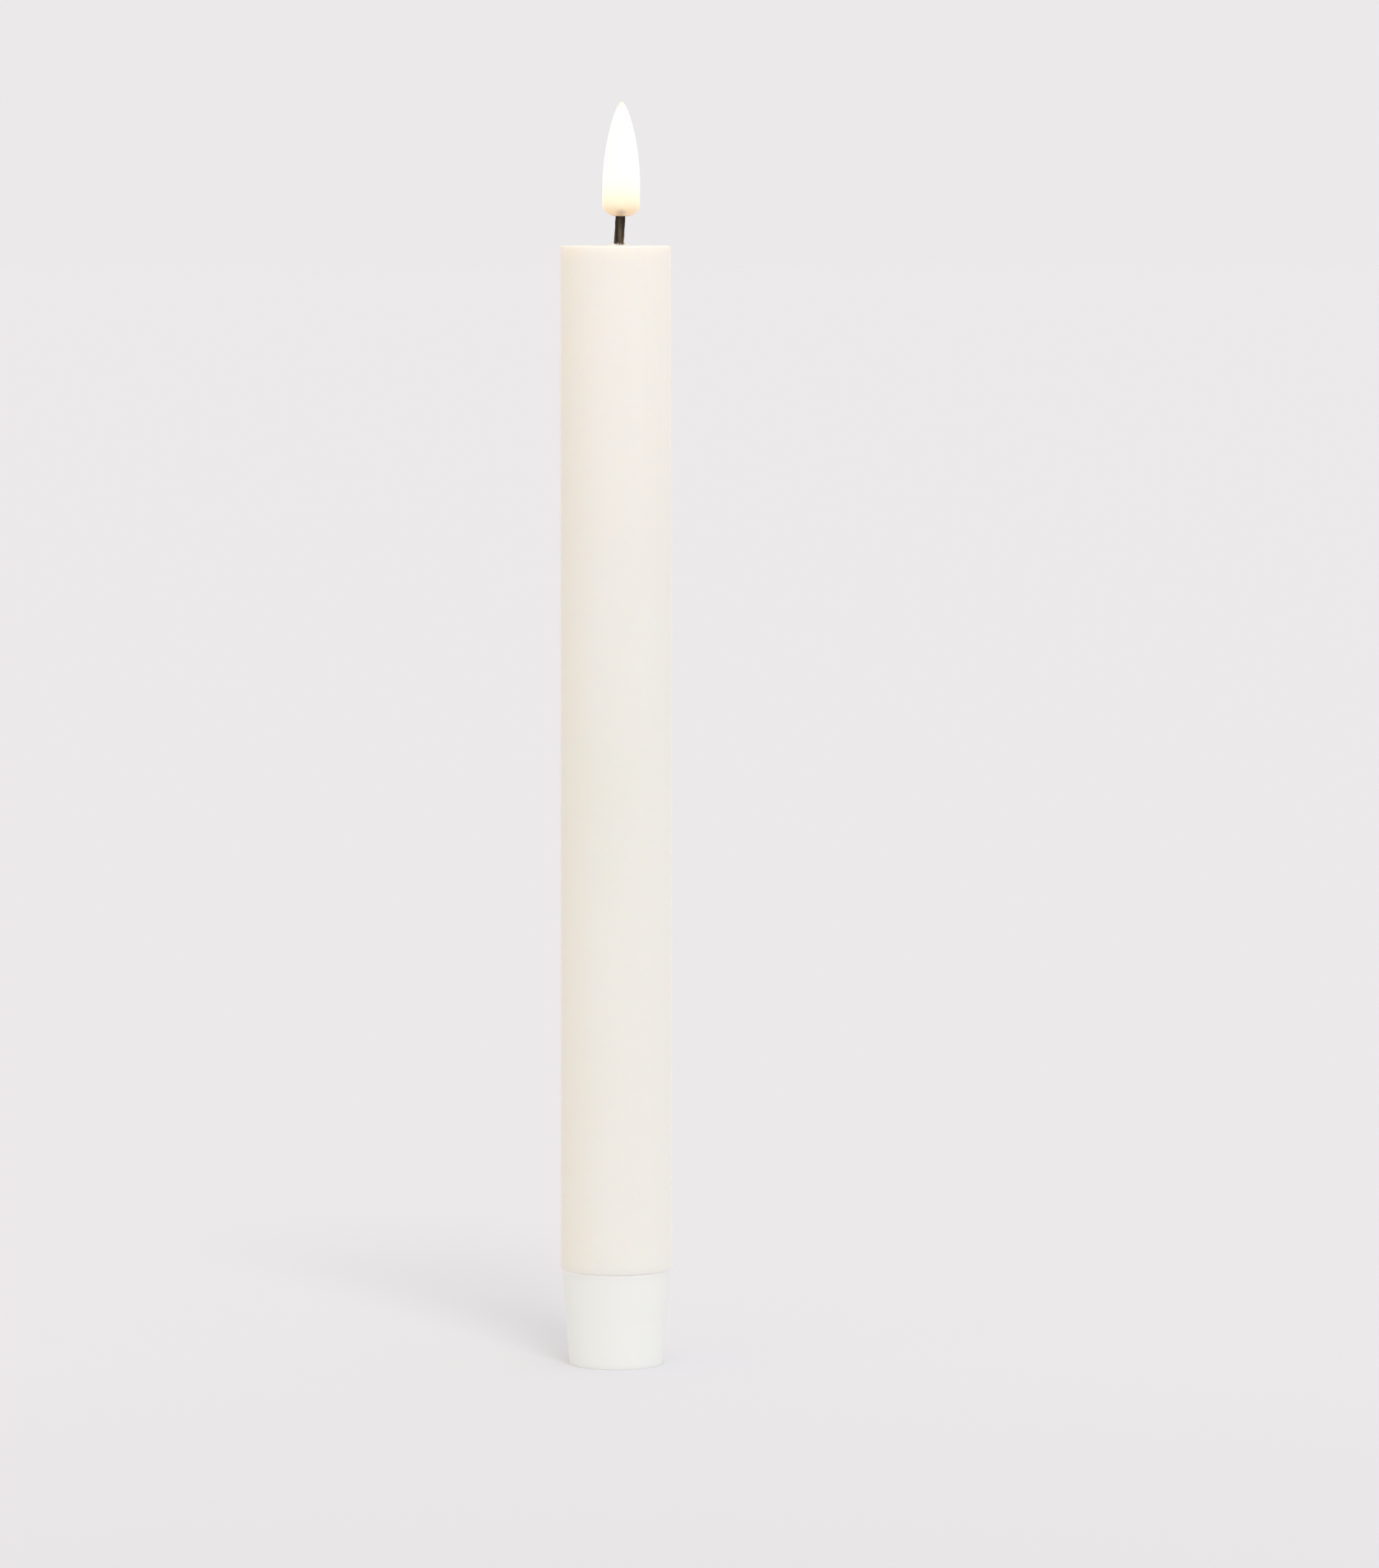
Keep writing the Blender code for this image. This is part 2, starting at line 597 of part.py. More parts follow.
def make_base_cap(turn_axis):
    """The tapered base: a threaded cup with a recess in its underside for the screws and the switch knob."""
    rim, overshoot = 0.3 * MM, 1 * MM
    foot_outer = BASE_BOTTOM_RADIUS - BASE_EDGE
    points = [
        (0.0, FLOOR_TOP_Z),
        (BASE_BORE, FLOOR_TOP_Z),
        (BASE_BORE, THREAD_STEP_Z),
        (THREAD_BORE, THREAD_STEP_Z),
        (THREAD_BORE, BASE_HEIGHT),
        (BASE_TOP_RADIUS - rim, BASE_HEIGHT),
        (BASE_TOP_RADIUS, BASE_HEIGHT - rim),
    ]
    points += arc((foot_outer, BASE_EDGE), BASE_EDGE, 0, -90, 4)
    points += [(RECESS_RADIUS, 0.0), (RECESS_RADIUS, RECESS_DEPTH), (0.0, RECESS_DEPTH)]
    cap = turned("base_cap", "white_plastic", points, parent=turn_axis)
    join(cap, thread_ridge("base_thread", THREAD_BORE, THREAD_START_Z + THREAD_PITCH / 2, 1.0))
    slot = (KNOB_SLOT_LENGTH, KNOB_SLOT_WIDTH, 2 * FLOOR_TOP_Z)
    cut(cap, add_cutter("knob_slot", box_mesh("knob_slot", slot, (0.0, 0.0, FLOOR_TOP_Z / 2))))
    for end, y in (("front", -BASE_SCREW_Y), ("rear", BASE_SCREW_Y)):
        top = FLOOR_TOP_Z + overshoot
        hole = cylinder_mesh(f"hole_{end}", SCREW_RADIUS + GAP, -overshoot, top, (0.0, y), 16)
        cut(cap, add_cutter(f"cap_hole_{end}", hole))
        radius = SCREW_HEAD_RADIUS + GAP
        counterbore = cylinder_mesh(f"counterbore_{end}", radius, -overshoot, COUNTERBORE_TOP_Z, (0.0, y))
        cut(cap, add_cutter(f"cap_counterbore_{end}", counterbore))


def make_base_screw(name, y, turn_axis):
    """A self-tapping screw up through the base's floor into the contact carrier, with a crossed slot."""
    head_top = COUNTERBORE_TOP_Z - GAP
    head_bottom = head_top - SCREW_HEAD_HEIGHT
    tip_z, tip_radius, tip_length = 5.0 * MM, SCREW_RADIUS - 0.3 * MM, 0.5 * MM
    dome_edge, dome_rise = 0.4 * MM, 0.2 * MM
    slot_length, slot_width, slot_depth = 1.7 * MM, 0.35 * MM, 0.3 * MM
    points = [
        (0.0, tip_z),
        (tip_radius, tip_z),
        (SCREW_RADIUS, tip_z - tip_length),
        (SCREW_RADIUS, head_top),
        (SCREW_HEAD_RADIUS, head_top),
        (SCREW_HEAD_RADIUS, head_bottom + dome_rise),
        (SCREW_HEAD_RADIUS - dome_edge, head_bottom),
        (0.0, head_bottom),
    ]
    screw = turned(name, "tinned_steel", points, steps=SMALL_STEPS, parent=turn_axis)
    screw.location.y = y
    for turn, across in (("x", (slot_length, slot_width)), ("y", (slot_width, slot_length))):
        slot = box_mesh(f"{name}_{turn}", (*across, 2 * slot_depth), (0.0, y, head_bottom))
        cut(screw, add_cutter(f"{name}_slot_{turn}", slot))


def make_contact_carrier(turn_axis):
    """The plastic disc over the switch, on two bosses that the base's screws bite into."""
    radius, boss_radius, pilot_top = BASE_BORE - 0.4 * MM, 1.9 * MM, 5.4 * MM
    points = [(0.0, CARRIER_TOP_Z), (radius, CARRIER_TOP_Z), (radius, CARRIER_Z), (0.0, CARRIER_Z)]
    carrier = turned("contact_carrier", "natural_plastic", points, steps=INNER_STEPS, parent=turn_axis)
    boss_bottom = FLOOR_TOP_Z + GAP
    for end, y in (("front", -BASE_SCREW_Y), ("rear", BASE_SCREW_Y)):
        boss_top = CARRIER_Z + CARRIER_THICKNESS / 2
        boss = cylinder_mesh(f"boss_{end}", boss_radius, boss_bottom, boss_top, (0.0, y))
        join(carrier, add_cutter(f"carrier_boss_{end}", boss))
        pilot = cylinder_mesh(f"pilot_{end}", SCREW_RADIUS + GAP, 0.0, pilot_top, (0.0, y), 16)
        cut(carrier, add_cutter(f"carrier_pilot_{end}", pilot))


def make_contact_ring(turn_axis):
    """The brass ring on the contact carrier that the negative strip's foot meets."""
    inner, outer, bottom = 6.4 * MM, 7.6 * MM, CARRIER_TOP_Z + GAP
    top = bottom + RING_THICKNESS
    points = [(outer, top), (outer, bottom), (inner, bottom), (inner, top)]
    turned("contact_ring", "brass", points, ring=True, steps=INNER_STEPS, parent=turn_axis)


def make_switch(turn_axis):
    """The slide switch's body, open below for its knob, and the small board on top of it."""
    body_size, edge, pocket_depth = (8.0 * MM, 3.8 * MM, SWITCH_HEIGHT), 0.15 * MM, 1.2 * MM
    centre = (0.0, 0.0, SWITCH_BOTTOM_Z + SWITCH_HEIGHT / 2)
    body_mesh = box_mesh("switch_body", body_size, centre, bevel=edge)
    body = add("switch_body", body_mesh, "black_plastic", turn_axis)
    pocket_size = (KNOB_SLOT_LENGTH, KNOB_SLOT_WIDTH, 2 * pocket_depth)
    pocket = box_mesh("knob_pocket", pocket_size, (0.0, 0.0, SWITCH_BOTTOM_Z))
    cut(body, add_cutter("knob_pocket", pocket))
    board_size = (12.0 * MM, 5.4 * MM, SWITCH_BOARD_THICKNESS)
    board_centre = (0.0, 0.0, SWITCH_BOARD_Z + SWITCH_BOARD_THICKNESS / 2)
    board = box_mesh("switch_board", board_size, board_centre)
    add("switch_board", board, "circuit_board", turn_axis)


def make_switch_knob(slide_axis):
    """A thumb pin with a grooved tip, at one end of its slot: it slides along X towards the other end."""
    bottom, top = 0.35 * MM, SWITCH_BOTTOM_Z + 0.9 * MM
    depth, edge = 1.6 * MM, 0.15 * MM
    groove_size, groove_x = Vector((0.3, 2.0, 0.4)) * MM, 0.35 * MM
    size, middle = (KNOB_WIDTH, depth, top - bottom), (top + bottom) / 2
    mesh = box_mesh("switch_knob", size, (0.0, 0.0, middle), bevel=edge)
    knob = add("switch_knob", mesh, "black_plastic", slide_axis)
    for side in (-1, 1):
        mesh = box_mesh("knob_groove", groove_size, (side * groove_x, 0.0, bottom))
        groove = add_cutter(f"knob_groove_{side}", mesh)
        groove.parent = slide_axis
        cut(knob, groove)


def make_spring_seat(slide_axis):
    """A brass dish on the contact carrier that the tail spring stands in."""
    radius, wall, rim = 4.2 * MM, 0.3 * MM, 0.7 * MM
    bottom = CARRIER_TOP_Z + GAP
    dish = bottom + SHEET_METAL
    points = [
        (0.0, dish),
        (radius - wall, dish),
        (radius - wall, dish + rim),
        (radius, dish + rim),
        (radius, bottom),
        (0.0, bottom),
    ]
    turned("spring_seat", "brass", points, steps=INNER_STEPS, parent=slide_axis)


def make_tail_spring(slide_axis):
    """A conical spring that stands in its seat and presses up against the lower cell."""
    bottom = CARRIER_TOP_Z + SHEET_METAL + 2 * GAP + SPRING_WIRE
    top = CELL_BOTTOM_Z - GAP - SPRING_WIRE
    wide, narrow, turns, per_turn = 3.3 * MM, 2.1 * MM, 4.5, 14
    count = round(turns * per_turn)
    points = []
    for i in range(count + 1):
        rise = i / count
        radius = wide + (narrow - wide) * rise
        angle = math.tau * turns * rise
        points.append((radius * math.cos(angle), radius * math.sin(angle), bottom + (top - bottom) * rise))
    rod("tail_spring", "tinned_steel", points, SPRING_WIRE, slide_axis)


def apply_modifiers(obj):
    """Turns the object's modifiers into its mesh, and shades its round faces smooth."""
    if obj.type != "MESH":
        return
    graph = bpy.context.evaluated_depsgraph_get()
    mesh = bpy.data.meshes.new_from_object(obj.evaluated_get(graph))
    obj.modifiers.clear()
    obj.data = mesh
    mesh.shade_smooth()
    mesh.set_sharp_from_angle(angle=SHARP_ANGLE)


def build():
    make_wax_shell()
    make_core_tube()
    make_wick_holder()
    make_wick_sleeve()
    make_flame()
    make_led()
    make_led_wire("led_wire_positive", "red_insulation", 1)
    make_led_wire("led_wire_negative", "black_insulation", -1)

    make_battery_sleeve()
    make_cell("battery_cell_lower", CELL_BOTTOM_Z)
    make_cell("battery_cell_upper", UPPER_CELL_Z)
    make_positive_contact()
    make_negative_strip()
    make_battery_wire()
    make_control_board()

    spring_axis = joint_axis("spring_slide_axis", (0.0, 0.0, 0.0))
    make_spring_seat(spring_axis)
    make_tail_spring(spring_axis)

    turn_axis = joint_axis("base_turn_axis", (0.0, 0.0, 0.0), parent=spring_axis)
    make_base_cap(turn_axis)
    make_contact_carrier(turn_axis)
    make_contact_ring(turn_axis)
    make_switch(turn_axis)
    make_base_screw("base_screw_front", -BASE_SCREW_Y, turn_axis)
    make_base_screw("base_screw_rear", BASE_SCREW_Y, turn_axis)

    knob_axis = joint_axis("knob_slide_axis", (-SWITCH_TRAVEL / 2, 0.0, 0.0), parent=turn_axis)
    make_switch_knob(knob_axis)

    bpy.context.view_layer.update()
    for obj in CANDLE.objects:
        apply_modifiers(obj)


build()
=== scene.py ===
"""Looks of a flameless taper candle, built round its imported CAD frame.

Metres, in the frame's axes: +Z up along the candle, the origin under the middle of its base.
Twelve pieces are rebuilt here with finer shapes: the wax coat, flame, wick, threaded tube, base,
switch knob, two screws, tail spring, two cells and control chip. Every other piece keeps its CAD
shape. All of them get procedural materials.
"""

import math

import bmesh
import bpy
from mathutils import Matrix, Vector, noise


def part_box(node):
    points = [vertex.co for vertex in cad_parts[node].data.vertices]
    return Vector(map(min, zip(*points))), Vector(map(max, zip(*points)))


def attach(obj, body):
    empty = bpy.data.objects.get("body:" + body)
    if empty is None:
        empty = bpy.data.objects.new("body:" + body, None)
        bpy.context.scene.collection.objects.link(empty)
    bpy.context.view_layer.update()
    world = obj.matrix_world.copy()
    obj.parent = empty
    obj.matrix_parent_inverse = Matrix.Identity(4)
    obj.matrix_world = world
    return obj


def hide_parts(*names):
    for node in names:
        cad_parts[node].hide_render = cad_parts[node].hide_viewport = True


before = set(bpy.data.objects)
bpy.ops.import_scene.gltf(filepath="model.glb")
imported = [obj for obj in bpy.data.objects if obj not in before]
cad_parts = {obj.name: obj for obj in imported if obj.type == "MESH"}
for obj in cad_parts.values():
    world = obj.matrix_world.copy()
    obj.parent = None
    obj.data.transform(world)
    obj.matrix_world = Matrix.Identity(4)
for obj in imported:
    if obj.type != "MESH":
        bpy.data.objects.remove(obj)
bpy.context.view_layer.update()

MM = 0.001

# Places and sizes that the frame gives.
WAX_LOW, WAX_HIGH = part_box("wax_shell")
FLAME_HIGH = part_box("flame_lens")[1]
WICK_LOW, WICK_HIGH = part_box("wick_sleeve")
BASE_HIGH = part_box("base_cap")[1]
TUBE_LOW, TUBE_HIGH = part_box("core_tube")
KNOB_LOW, KNOB_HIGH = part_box("switch_knob")

# The wax coat.
WAX_TAPER = 0.15 * MM
WAX_EDGE = 0.5 * MM
WAX_FOOT_Z = WAX_LOW.z
WAX_BORE = 9.4 * MM
WAX_ROOF = 2.2 * MM
WICK_HOLE = 1.3 * MM
DIP_WAVE = 0.035 * MM  # how far the dipped side waves in and out

# The wick and the flame.
WICK_RADIUS = 1.0 * MM
WICK_BORE = 0.72 * MM
WICK_BARE_LENGTH = 5.8 * MM
FLAME_X = 1.08 * MM
FLAME_LEAN = math.radians(0.5)
FLAME_RADIUS = FLAME_HIGH.y
FLAME_BOTTOM_Z = WAX_HIGH.z + WICK_BARE_LENGTH
FLAME_HEIGHT = FLAME_HIGH.z - FLAME_BOTTOM_Z
FLAME_BOWL = 2.1 * MM  # the height of its rounded bottom
OGIVE_DEPTH = 17.0 * MM  # from its tip down to its straight part

# The base and the neck that it screws on to.
BASE_RIM_Z = WAX_FOOT_Z - 0.02 * MM  # the rim closes up to a hair under the wax
BASE_FOOT_RADIUS = 9.4 * MM
BASE_EDGE = 0.06 * MM
BASE_RIM = 0.12 * MM
RIM_FLARE = 0.15 * MM  # how far the rim stands out of the taper
RIM_FLARE_DEPTH = 0.9 * MM
BASE_BORE = 8.3 * MM
THREAD_BORE = 9.25 * MM
THREAD_STEP_Z = 9.4 * MM
FLOOR_TOP_Z = 2.2 * MM
RECESS_RADIUS = 6.6 * MM
RECESS_DEPTH = 0.8 * MM
SCREW_Y = 4.9 * MM
SCREW_HOLE = 1.05 * MM
SCREW_HEAD_HOLE = 1.8 * MM
SCREW_HEAD_SINK = 0.55 * MM  # how far its hole goes in past the recess
KNOB_SLOT_WIDTH = 2.2 * MM
NECK_RADIUS = 8.5 * MM
TUBE_BORE = 7.8 * MM
THREAD_PITCH = 2.0 * MM
THREAD_HEIGHT = 0.5 * MM
THREAD_START_Z = TUBE_LOW.z + 2.2 * MM
SWITCH_TRAVEL = 4.0 * MM

# The camera, at the photograph's angle, and the light.
CAMERA_PLACE = (14.64 * MM, -1.5, 229.76 * MM)
CAMERA_TILT = math.radians(4.331)
CAMERA_LENS = 173.61  # mm, on a 36 mm long side
STUDIO_GREY = (0.831, 0.815, 0.823)  # the backdrop
LIGHT_LEFT = (0.915, 0.865, 0.785)
LIGHT_RIGHT = (0.935, 0.93, 0.93)
KEY_COLOUR = (1.0, 0.985, 0.965)
KEY_ENERGY = 0.61
KEY_SPREAD = math.radians(16.5)
TOWARDS_KEY = (0.275, -0.95, 1.25)
FLOOR_RADIUS = 30.0

# Steps round the turned pieces.
COAT_STEPS = 144
FLAME_STEPS = 96
WICK_STEPS = 40
BASE_STEPS = 128


# Mesh helpers.


def add_piece(name, bm, place=None):
    """A shaded object of the mesh, its faces turned outwards."""
    bmesh.ops.recalc_face_normals(bm, faces=bm.faces[:])
    mesh = bpy.data.meshes.new(name)
    bm.to_mesh(mesh)
    bm.free()
    if place:
        mesh.transform(place)
    mesh.shade_smooth()
    obj = bpy.data.objects.new(name, mesh)
    bpy.context.scene.collection.objects.link(obj)
    return obj


def sharpen(obj, degrees):
    """Keeps edges crisp that bend by more than this."""
    obj.data.set_sharp_from_angle(angle=math.radians(degrees))


def arc(centre, radius, start, end, steps):
    """Points of a profile's rounded corner, between two angles in degrees from the outward direction."""
    angles = [math.radians(start + (end - start) * i / steps) for i in range(steps + 1)]
    return [(centre[0] + radius * math.cos(a), centre[1] + radius * math.sin(a)) for a in angles]


def between(first, last, count):
    """Evenly spaced profile points after the first one, up to the last."""
    steps = [(i + 1) / count for i in range(count)]
    return [tuple(a + (b - a) * t for a, b in zip(first, last)) for t in steps]


def close_rows(bm, rows, loop):
    """Faces between neighbouring rows of vertices. A row of one vertex is a pole."""
    pairs = list(zip(rows, rows[1:]))
    if loop:
        pairs.append((rows[-1], rows[0]))
    for above, below in pairs:
        count = max(len(above), len(below))
        for i in range(count):
            j = (i + 1) % count
            corners = [above[i % len(above)], above[j % len(above)]]
            corners += [below[j % len(below)], below[i % len(below)]]
            bm.faces.new(list(dict.fromkeys(corners)))


def turned(name, profile, steps, shape=None, loop=False, place=None):
    """A turned solid of a profile of (radius, height) points. The shape function may move each point."""
    bm = bmesh.new()
    rows = []
    for radius, height in profile:
        row = []
        for i in range(steps if radius > 0 else 1):
            angle = math.tau * i / steps
            point = Vector((radius * math.cos(angle), radius * math.sin(angle), height))
            if shape:
                point = shape(point, angle, radius)
            row.append(bm.verts.new(point))
        rows.append(row)
    close_rows(bm, rows, loop)
    return add_piece(name, bm, place)


def rounded_box(name, size, centre, corner, segments=4):
    """A box with round edges, for a moulded part or a cutter."""
    bm = bmesh.new()
    bmesh.ops.create_cube(bm, size=1.0)
    bmesh.ops.scale(bm, vec=size, verts=bm.verts)
    bmesh.ops.bevel(bm, geom=bm.edges[:], offset=corner, segments=segments, profile=0.5, affect="EDGES")
    bmesh.ops.translate(bm, vec=centre, verts=bm.verts)
    return add_piece(name, bm)


def combine(obj, other, operation):
    """Cuts the other shape from the piece, or joins it on, and removes the other."""
    modifier = obj.modifiers.new(other.name, "BOOLEAN")
    modifier.operation = operation
    modifier.solver = "EXACT"
    modifier.object = other
    graph = bpy.context.evaluated_depsgraph_get()
    obj.data = bpy.data.meshes.new_from_object(obj.evaluated_get(graph))
    obj.modifiers.clear()
    bpy.data.objects.remove(other, do_unlink=True)


def ease(value):
    """0 to 1 with a soft start and end."""
    value = min(1.0, max(0.0, value))
    return value * value * (3 - 2 * value)


def waviness(point, angle, height_scale, seed):
    """A soft, seamless wave round and along the candle, from -1 to 1."""
    reach = 1.1
    across, along = reach * math.cos(angle), reach * math.sin(angle) + seed
    return noise.noise(Vector((across, along, point.z * height_scale)))


# The wax, the wick and the flame.


def wick_x(z):
    """The wick's sideways place at a height: it leans out of the wax, and straightens in the flame."""
    reach, middle, spread = 1.3 * MM, WAX_HIGH.z + 0.7 * MM, 4.6 * MM
    return reach / (1 + math.exp((middle - z) / spread))


def shape_wax(point, angle, radius):
    """Dipped wax: faint waves down the side, a top that sinks a little, and a small collar up the wick."""
    hole_x, hole_reach, collar_width = wick_x(WAX_HIGH.z - WAX_ROOF / 2), 6 * MM, 1 * MM
    from_hole = radius - WICK_HOLE
    point.x += hole_x * (1 - ease(from_hole / hole_reach))
    on_side = radius > WAX_HIGH.x - 2 * WAX_EDGE
    if on_side:
        slow, quick = waviness(point, angle, 24.0, 3.0), waviness(point, angle, 90.0, 7.0)
        wave = DIP_WAVE * (slow + 0.4 * quick - 0.6)
        swell_height = 1.2 * MM
        swell = 0.05 * MM * ease((WAX_FOOT_Z + swell_height - point.z) / swell_height)
        factor = 1 + (wave + swell) / radius
        point.x *= factor
        point.y *= factor
    on_top = point.z > WAX_HIGH.z - WAX_EDGE and radius < WAX_HIGH.x - WAX_EDGE
    if on_top:
        ripple = 0.05 * MM * noise.noise(Vector((point.x, point.y, 0.0)) * 260)
        collar = 0.42 * MM * (1 - ease(from_hole / collar_width))
        collar *= 1 + 0.45 * math.sin(2 * angle + 0.7)
        sink = 0.10 * MM * (1 - ease(radius / WAX_HIGH.x))
        point.z += collar + ripple - sink
    return point


def make_wax_coat():
    """The wax coat: round the top from the wick's hole, down the side, and back up its bore."""
    collar_reach = 2.4 * MM
    top_radius = WAX_HIGH.x - WAX_TAPER
    inner_top = WAX_HIGH.z - WAX_ROOF
    edge_centre = (top_radius - WAX_EDGE, WAX_HIGH.z - WAX_EDGE)
    lip = 0.06 * MM
    lip_centre = (WAX_HIGH.x - lip, WAX_FOOT_Z + lip)
    profile = [(WICK_HOLE, WAX_HIGH.z)]
    profile += between(profile[-1], (collar_reach, WAX_HIGH.z), 8)
    profile += between(profile[-1], (edge_centre[0], WAX_HIGH.z), 14)
    profile += arc(edge_centre, WAX_EDGE, 90, 0, 10)[1:]
    profile += between(profile[-1], (WAX_HIGH.x, lip_centre[1]), 170)
    profile += arc(lip_centre, lip, 0, -90, 5)[1:]
    profile += between(profile[-1], (WAX_BORE, WAX_FOOT_Z), 4)
    profile += between(profile[-1], (WAX_BORE, inner_top), 40)
    profile += between(profile[-1], (WICK_HOLE, inner_top), 8)
    profile += between(profile[-1], (WICK_HOLE, WAX_HIGH.z), 5)[:-1]
    coat = turned("wax_coat", profile, COAT_STEPS, shape_wax, loop=True)
    sharpen(coat, 50)
    return coat


def wick_surface(angle, z):
    """The wick's radius: two plies of fine fibres that wind round it, pressed smooth by the glue."""
    twist = angle + z / (2.4 * MM)
    fibres = 0.020 * math.sin(9 * twist) + 0.015 * math.sin(23 * angle - z / (0.9 * MM))
    lump = 0.03 * noise.noise(Vector((math.cos(angle), math.sin(angle), z * 700)))
    return WICK_RADIUS * (0.965 + fibres + lump)


def make_wick_stem():
    """The wick, swept along its lean, with the bore that holds the two LED wires."""
    rows_up = 110
    end_round, end_gap = 0.12 * MM, 0.05 * MM
    near = 0.1 * MM
    bm = bmesh.new()
    outer, inner = [], []
    for k in range(rows_up + 1):
        z = WICK_LOW.z + end_gap + (WICK_HIGH.z - WICK_LOW.z - 2 * end_gap) * k / rows_up
        slope = (wick_x(z + near) - wick_x(z - near)) / (2 * near)
        along = Vector((slope, 0.0, 1.0)).normalized()
        side = Vector((along.z, 0.0, -along.x))
        centre = Vector((wick_x(z), 0.0, z))
        inset = end_round if k in (0, rows_up) else 0.0
        outer_ring, inner_ring = [], []
        for i in range(WICK_STEPS):
            angle = math.tau * i / WICK_STEPS
            out = side * math.cos(angle) + Vector((0.0, 1.0, 0.0)) * math.sin(angle)
            outer_ring.append(bm.verts.new(centre + out * (wick_surface(angle, z) - inset)))
            inner_ring.append(bm.verts.new(centre + out * WICK_BORE))
        outer.append(outer_ring)
        inner.append(inner_ring)
    close_rows(bm, outer + inner[::-1], loop=True)
    return add_piece("wick_stem", bm)


def flame_profile():
    """From the tip down: a pointed ogive, a short straight, a bowed bottom, and the socket and LED hollow."""
    sharpness, rows = 0.63, 56
    squareness, bowl_rows = 1.75, 18
    socket, socket_depth = WICK_HOLE, 2.0 * MM
    hollow, dome_z = 1.8 * MM, 6.5 * MM
    profile = [(0.0, FLAME_HEIGHT)]
    for i in range(1, rows + 1):
        depth = OGIVE_DEPTH * (i / rows) ** 1.7
        radius = FLAME_RADIUS * math.sin(math.pi / 2 * depth / OGIVE_DEPTH) ** sharpness
        profile.append((radius, FLAME_HEIGHT - depth))
    profile += between(profile[-1], (FLAME_RADIUS, FLAME_BOWL), 12)
    for i in range(1, bowl_rows + 1):
        angle = math.pi / 2 * i / bowl_rows
        radius = socket + (FLAME_RADIUS - socket) * math.cos(angle) ** (2 / squareness)
        profile.append((radius, FLAME_BOWL * (1 - math.sin(angle) ** (2 / squareness))))
    profile += [(socket, socket_depth), (hollow, socket_depth)]
    profile += between(profile[-1], (hollow, dome_z), 6)
    profile += arc((0.0, dome_z), hollow, 0, 90, 10)[1:-1]
    profile.append((0.0, dome_z + hollow))
    return profile


def make_flame_bulb():
    """The flame-shaped lens, standing a little to the right on the wick and leaning with it."""
    place = Matrix.Translation((FLAME_X, 0.0, FLAME_BOTTOM_Z)) @ Matrix.Rotation(FLAME_LEAN, 4, "Y")
    bulb = turned("flame_bulb", flame_profile(), FLAME_STEPS, place=place)
    sharpen(bulb, 50)
    return bulb


# The threaded neck, the base and its switch knob.


def thread_rise(angle, z, start_z, turns, pitch):
    """A thread's ridge at a place on its wall, from 0 to 1, with ends that run out to nothing."""
    rise = 0.0
    half_width = 0.275 * pitch
    for lap in range(math.ceil(turns) + 1):
        turn = angle / math.tau + lap
        if turn <= turns:
            off_centre = abs(z - start_z - pitch * turn) / half_width
            run_out = ease(min(turn, turns - turn) / 0.12)
            rise = max(rise, run_out * ease(1.25 * (1 - off_centre)))
    return rise


def threaded(start_z, turns, wall, height, pitch=THREAD_PITCH):
    """A shape for turned() that raises a thread on one wall, inwards if its height is negative."""

    def shape(point, angle, radius):
        if abs(radius - wall) < 0.01 * MM:
            factor = 1 + height * thread_rise(angle, point.z, start_z, turns, pitch) / radius
            point.x *= factor
            point.y *= factor
        return point

    return shape


def make_neck_tube():
    """The plastic tube under the wax. Its threaded neck shows when the base is unscrewed."""
    tube, neck_top = TUBE_HIGH.x, WAX_LOW.z
    chamfer = 0.3 * MM
    profile = [(tube, TUBE_HIGH.z)]
    profile += between(profile[-1], (tube, neck_top), 20)
    profile += between(profile[-1], (NECK_RADIUS, neck_top), 2)
    profile += between(profile[-1], (NECK_RADIUS, TUBE_LOW.z + chamfer), 72)
    profile += [(NECK_RADIUS - chamfer, TUBE_LOW.z), (TUBE_BORE, TUBE_LOW.z)]
    profile += between(profile[-1], (TUBE_BORE, TUBE_HIGH.z), 20)
    shape = threaded(THREAD_START_Z, 1.25, NECK_RADIUS, THREAD_HEIGHT)
    piece = turned("neck_tube", profile, BASE_STEPS, shape, loop=True)
    sharpen(piece, 40)
    return piece


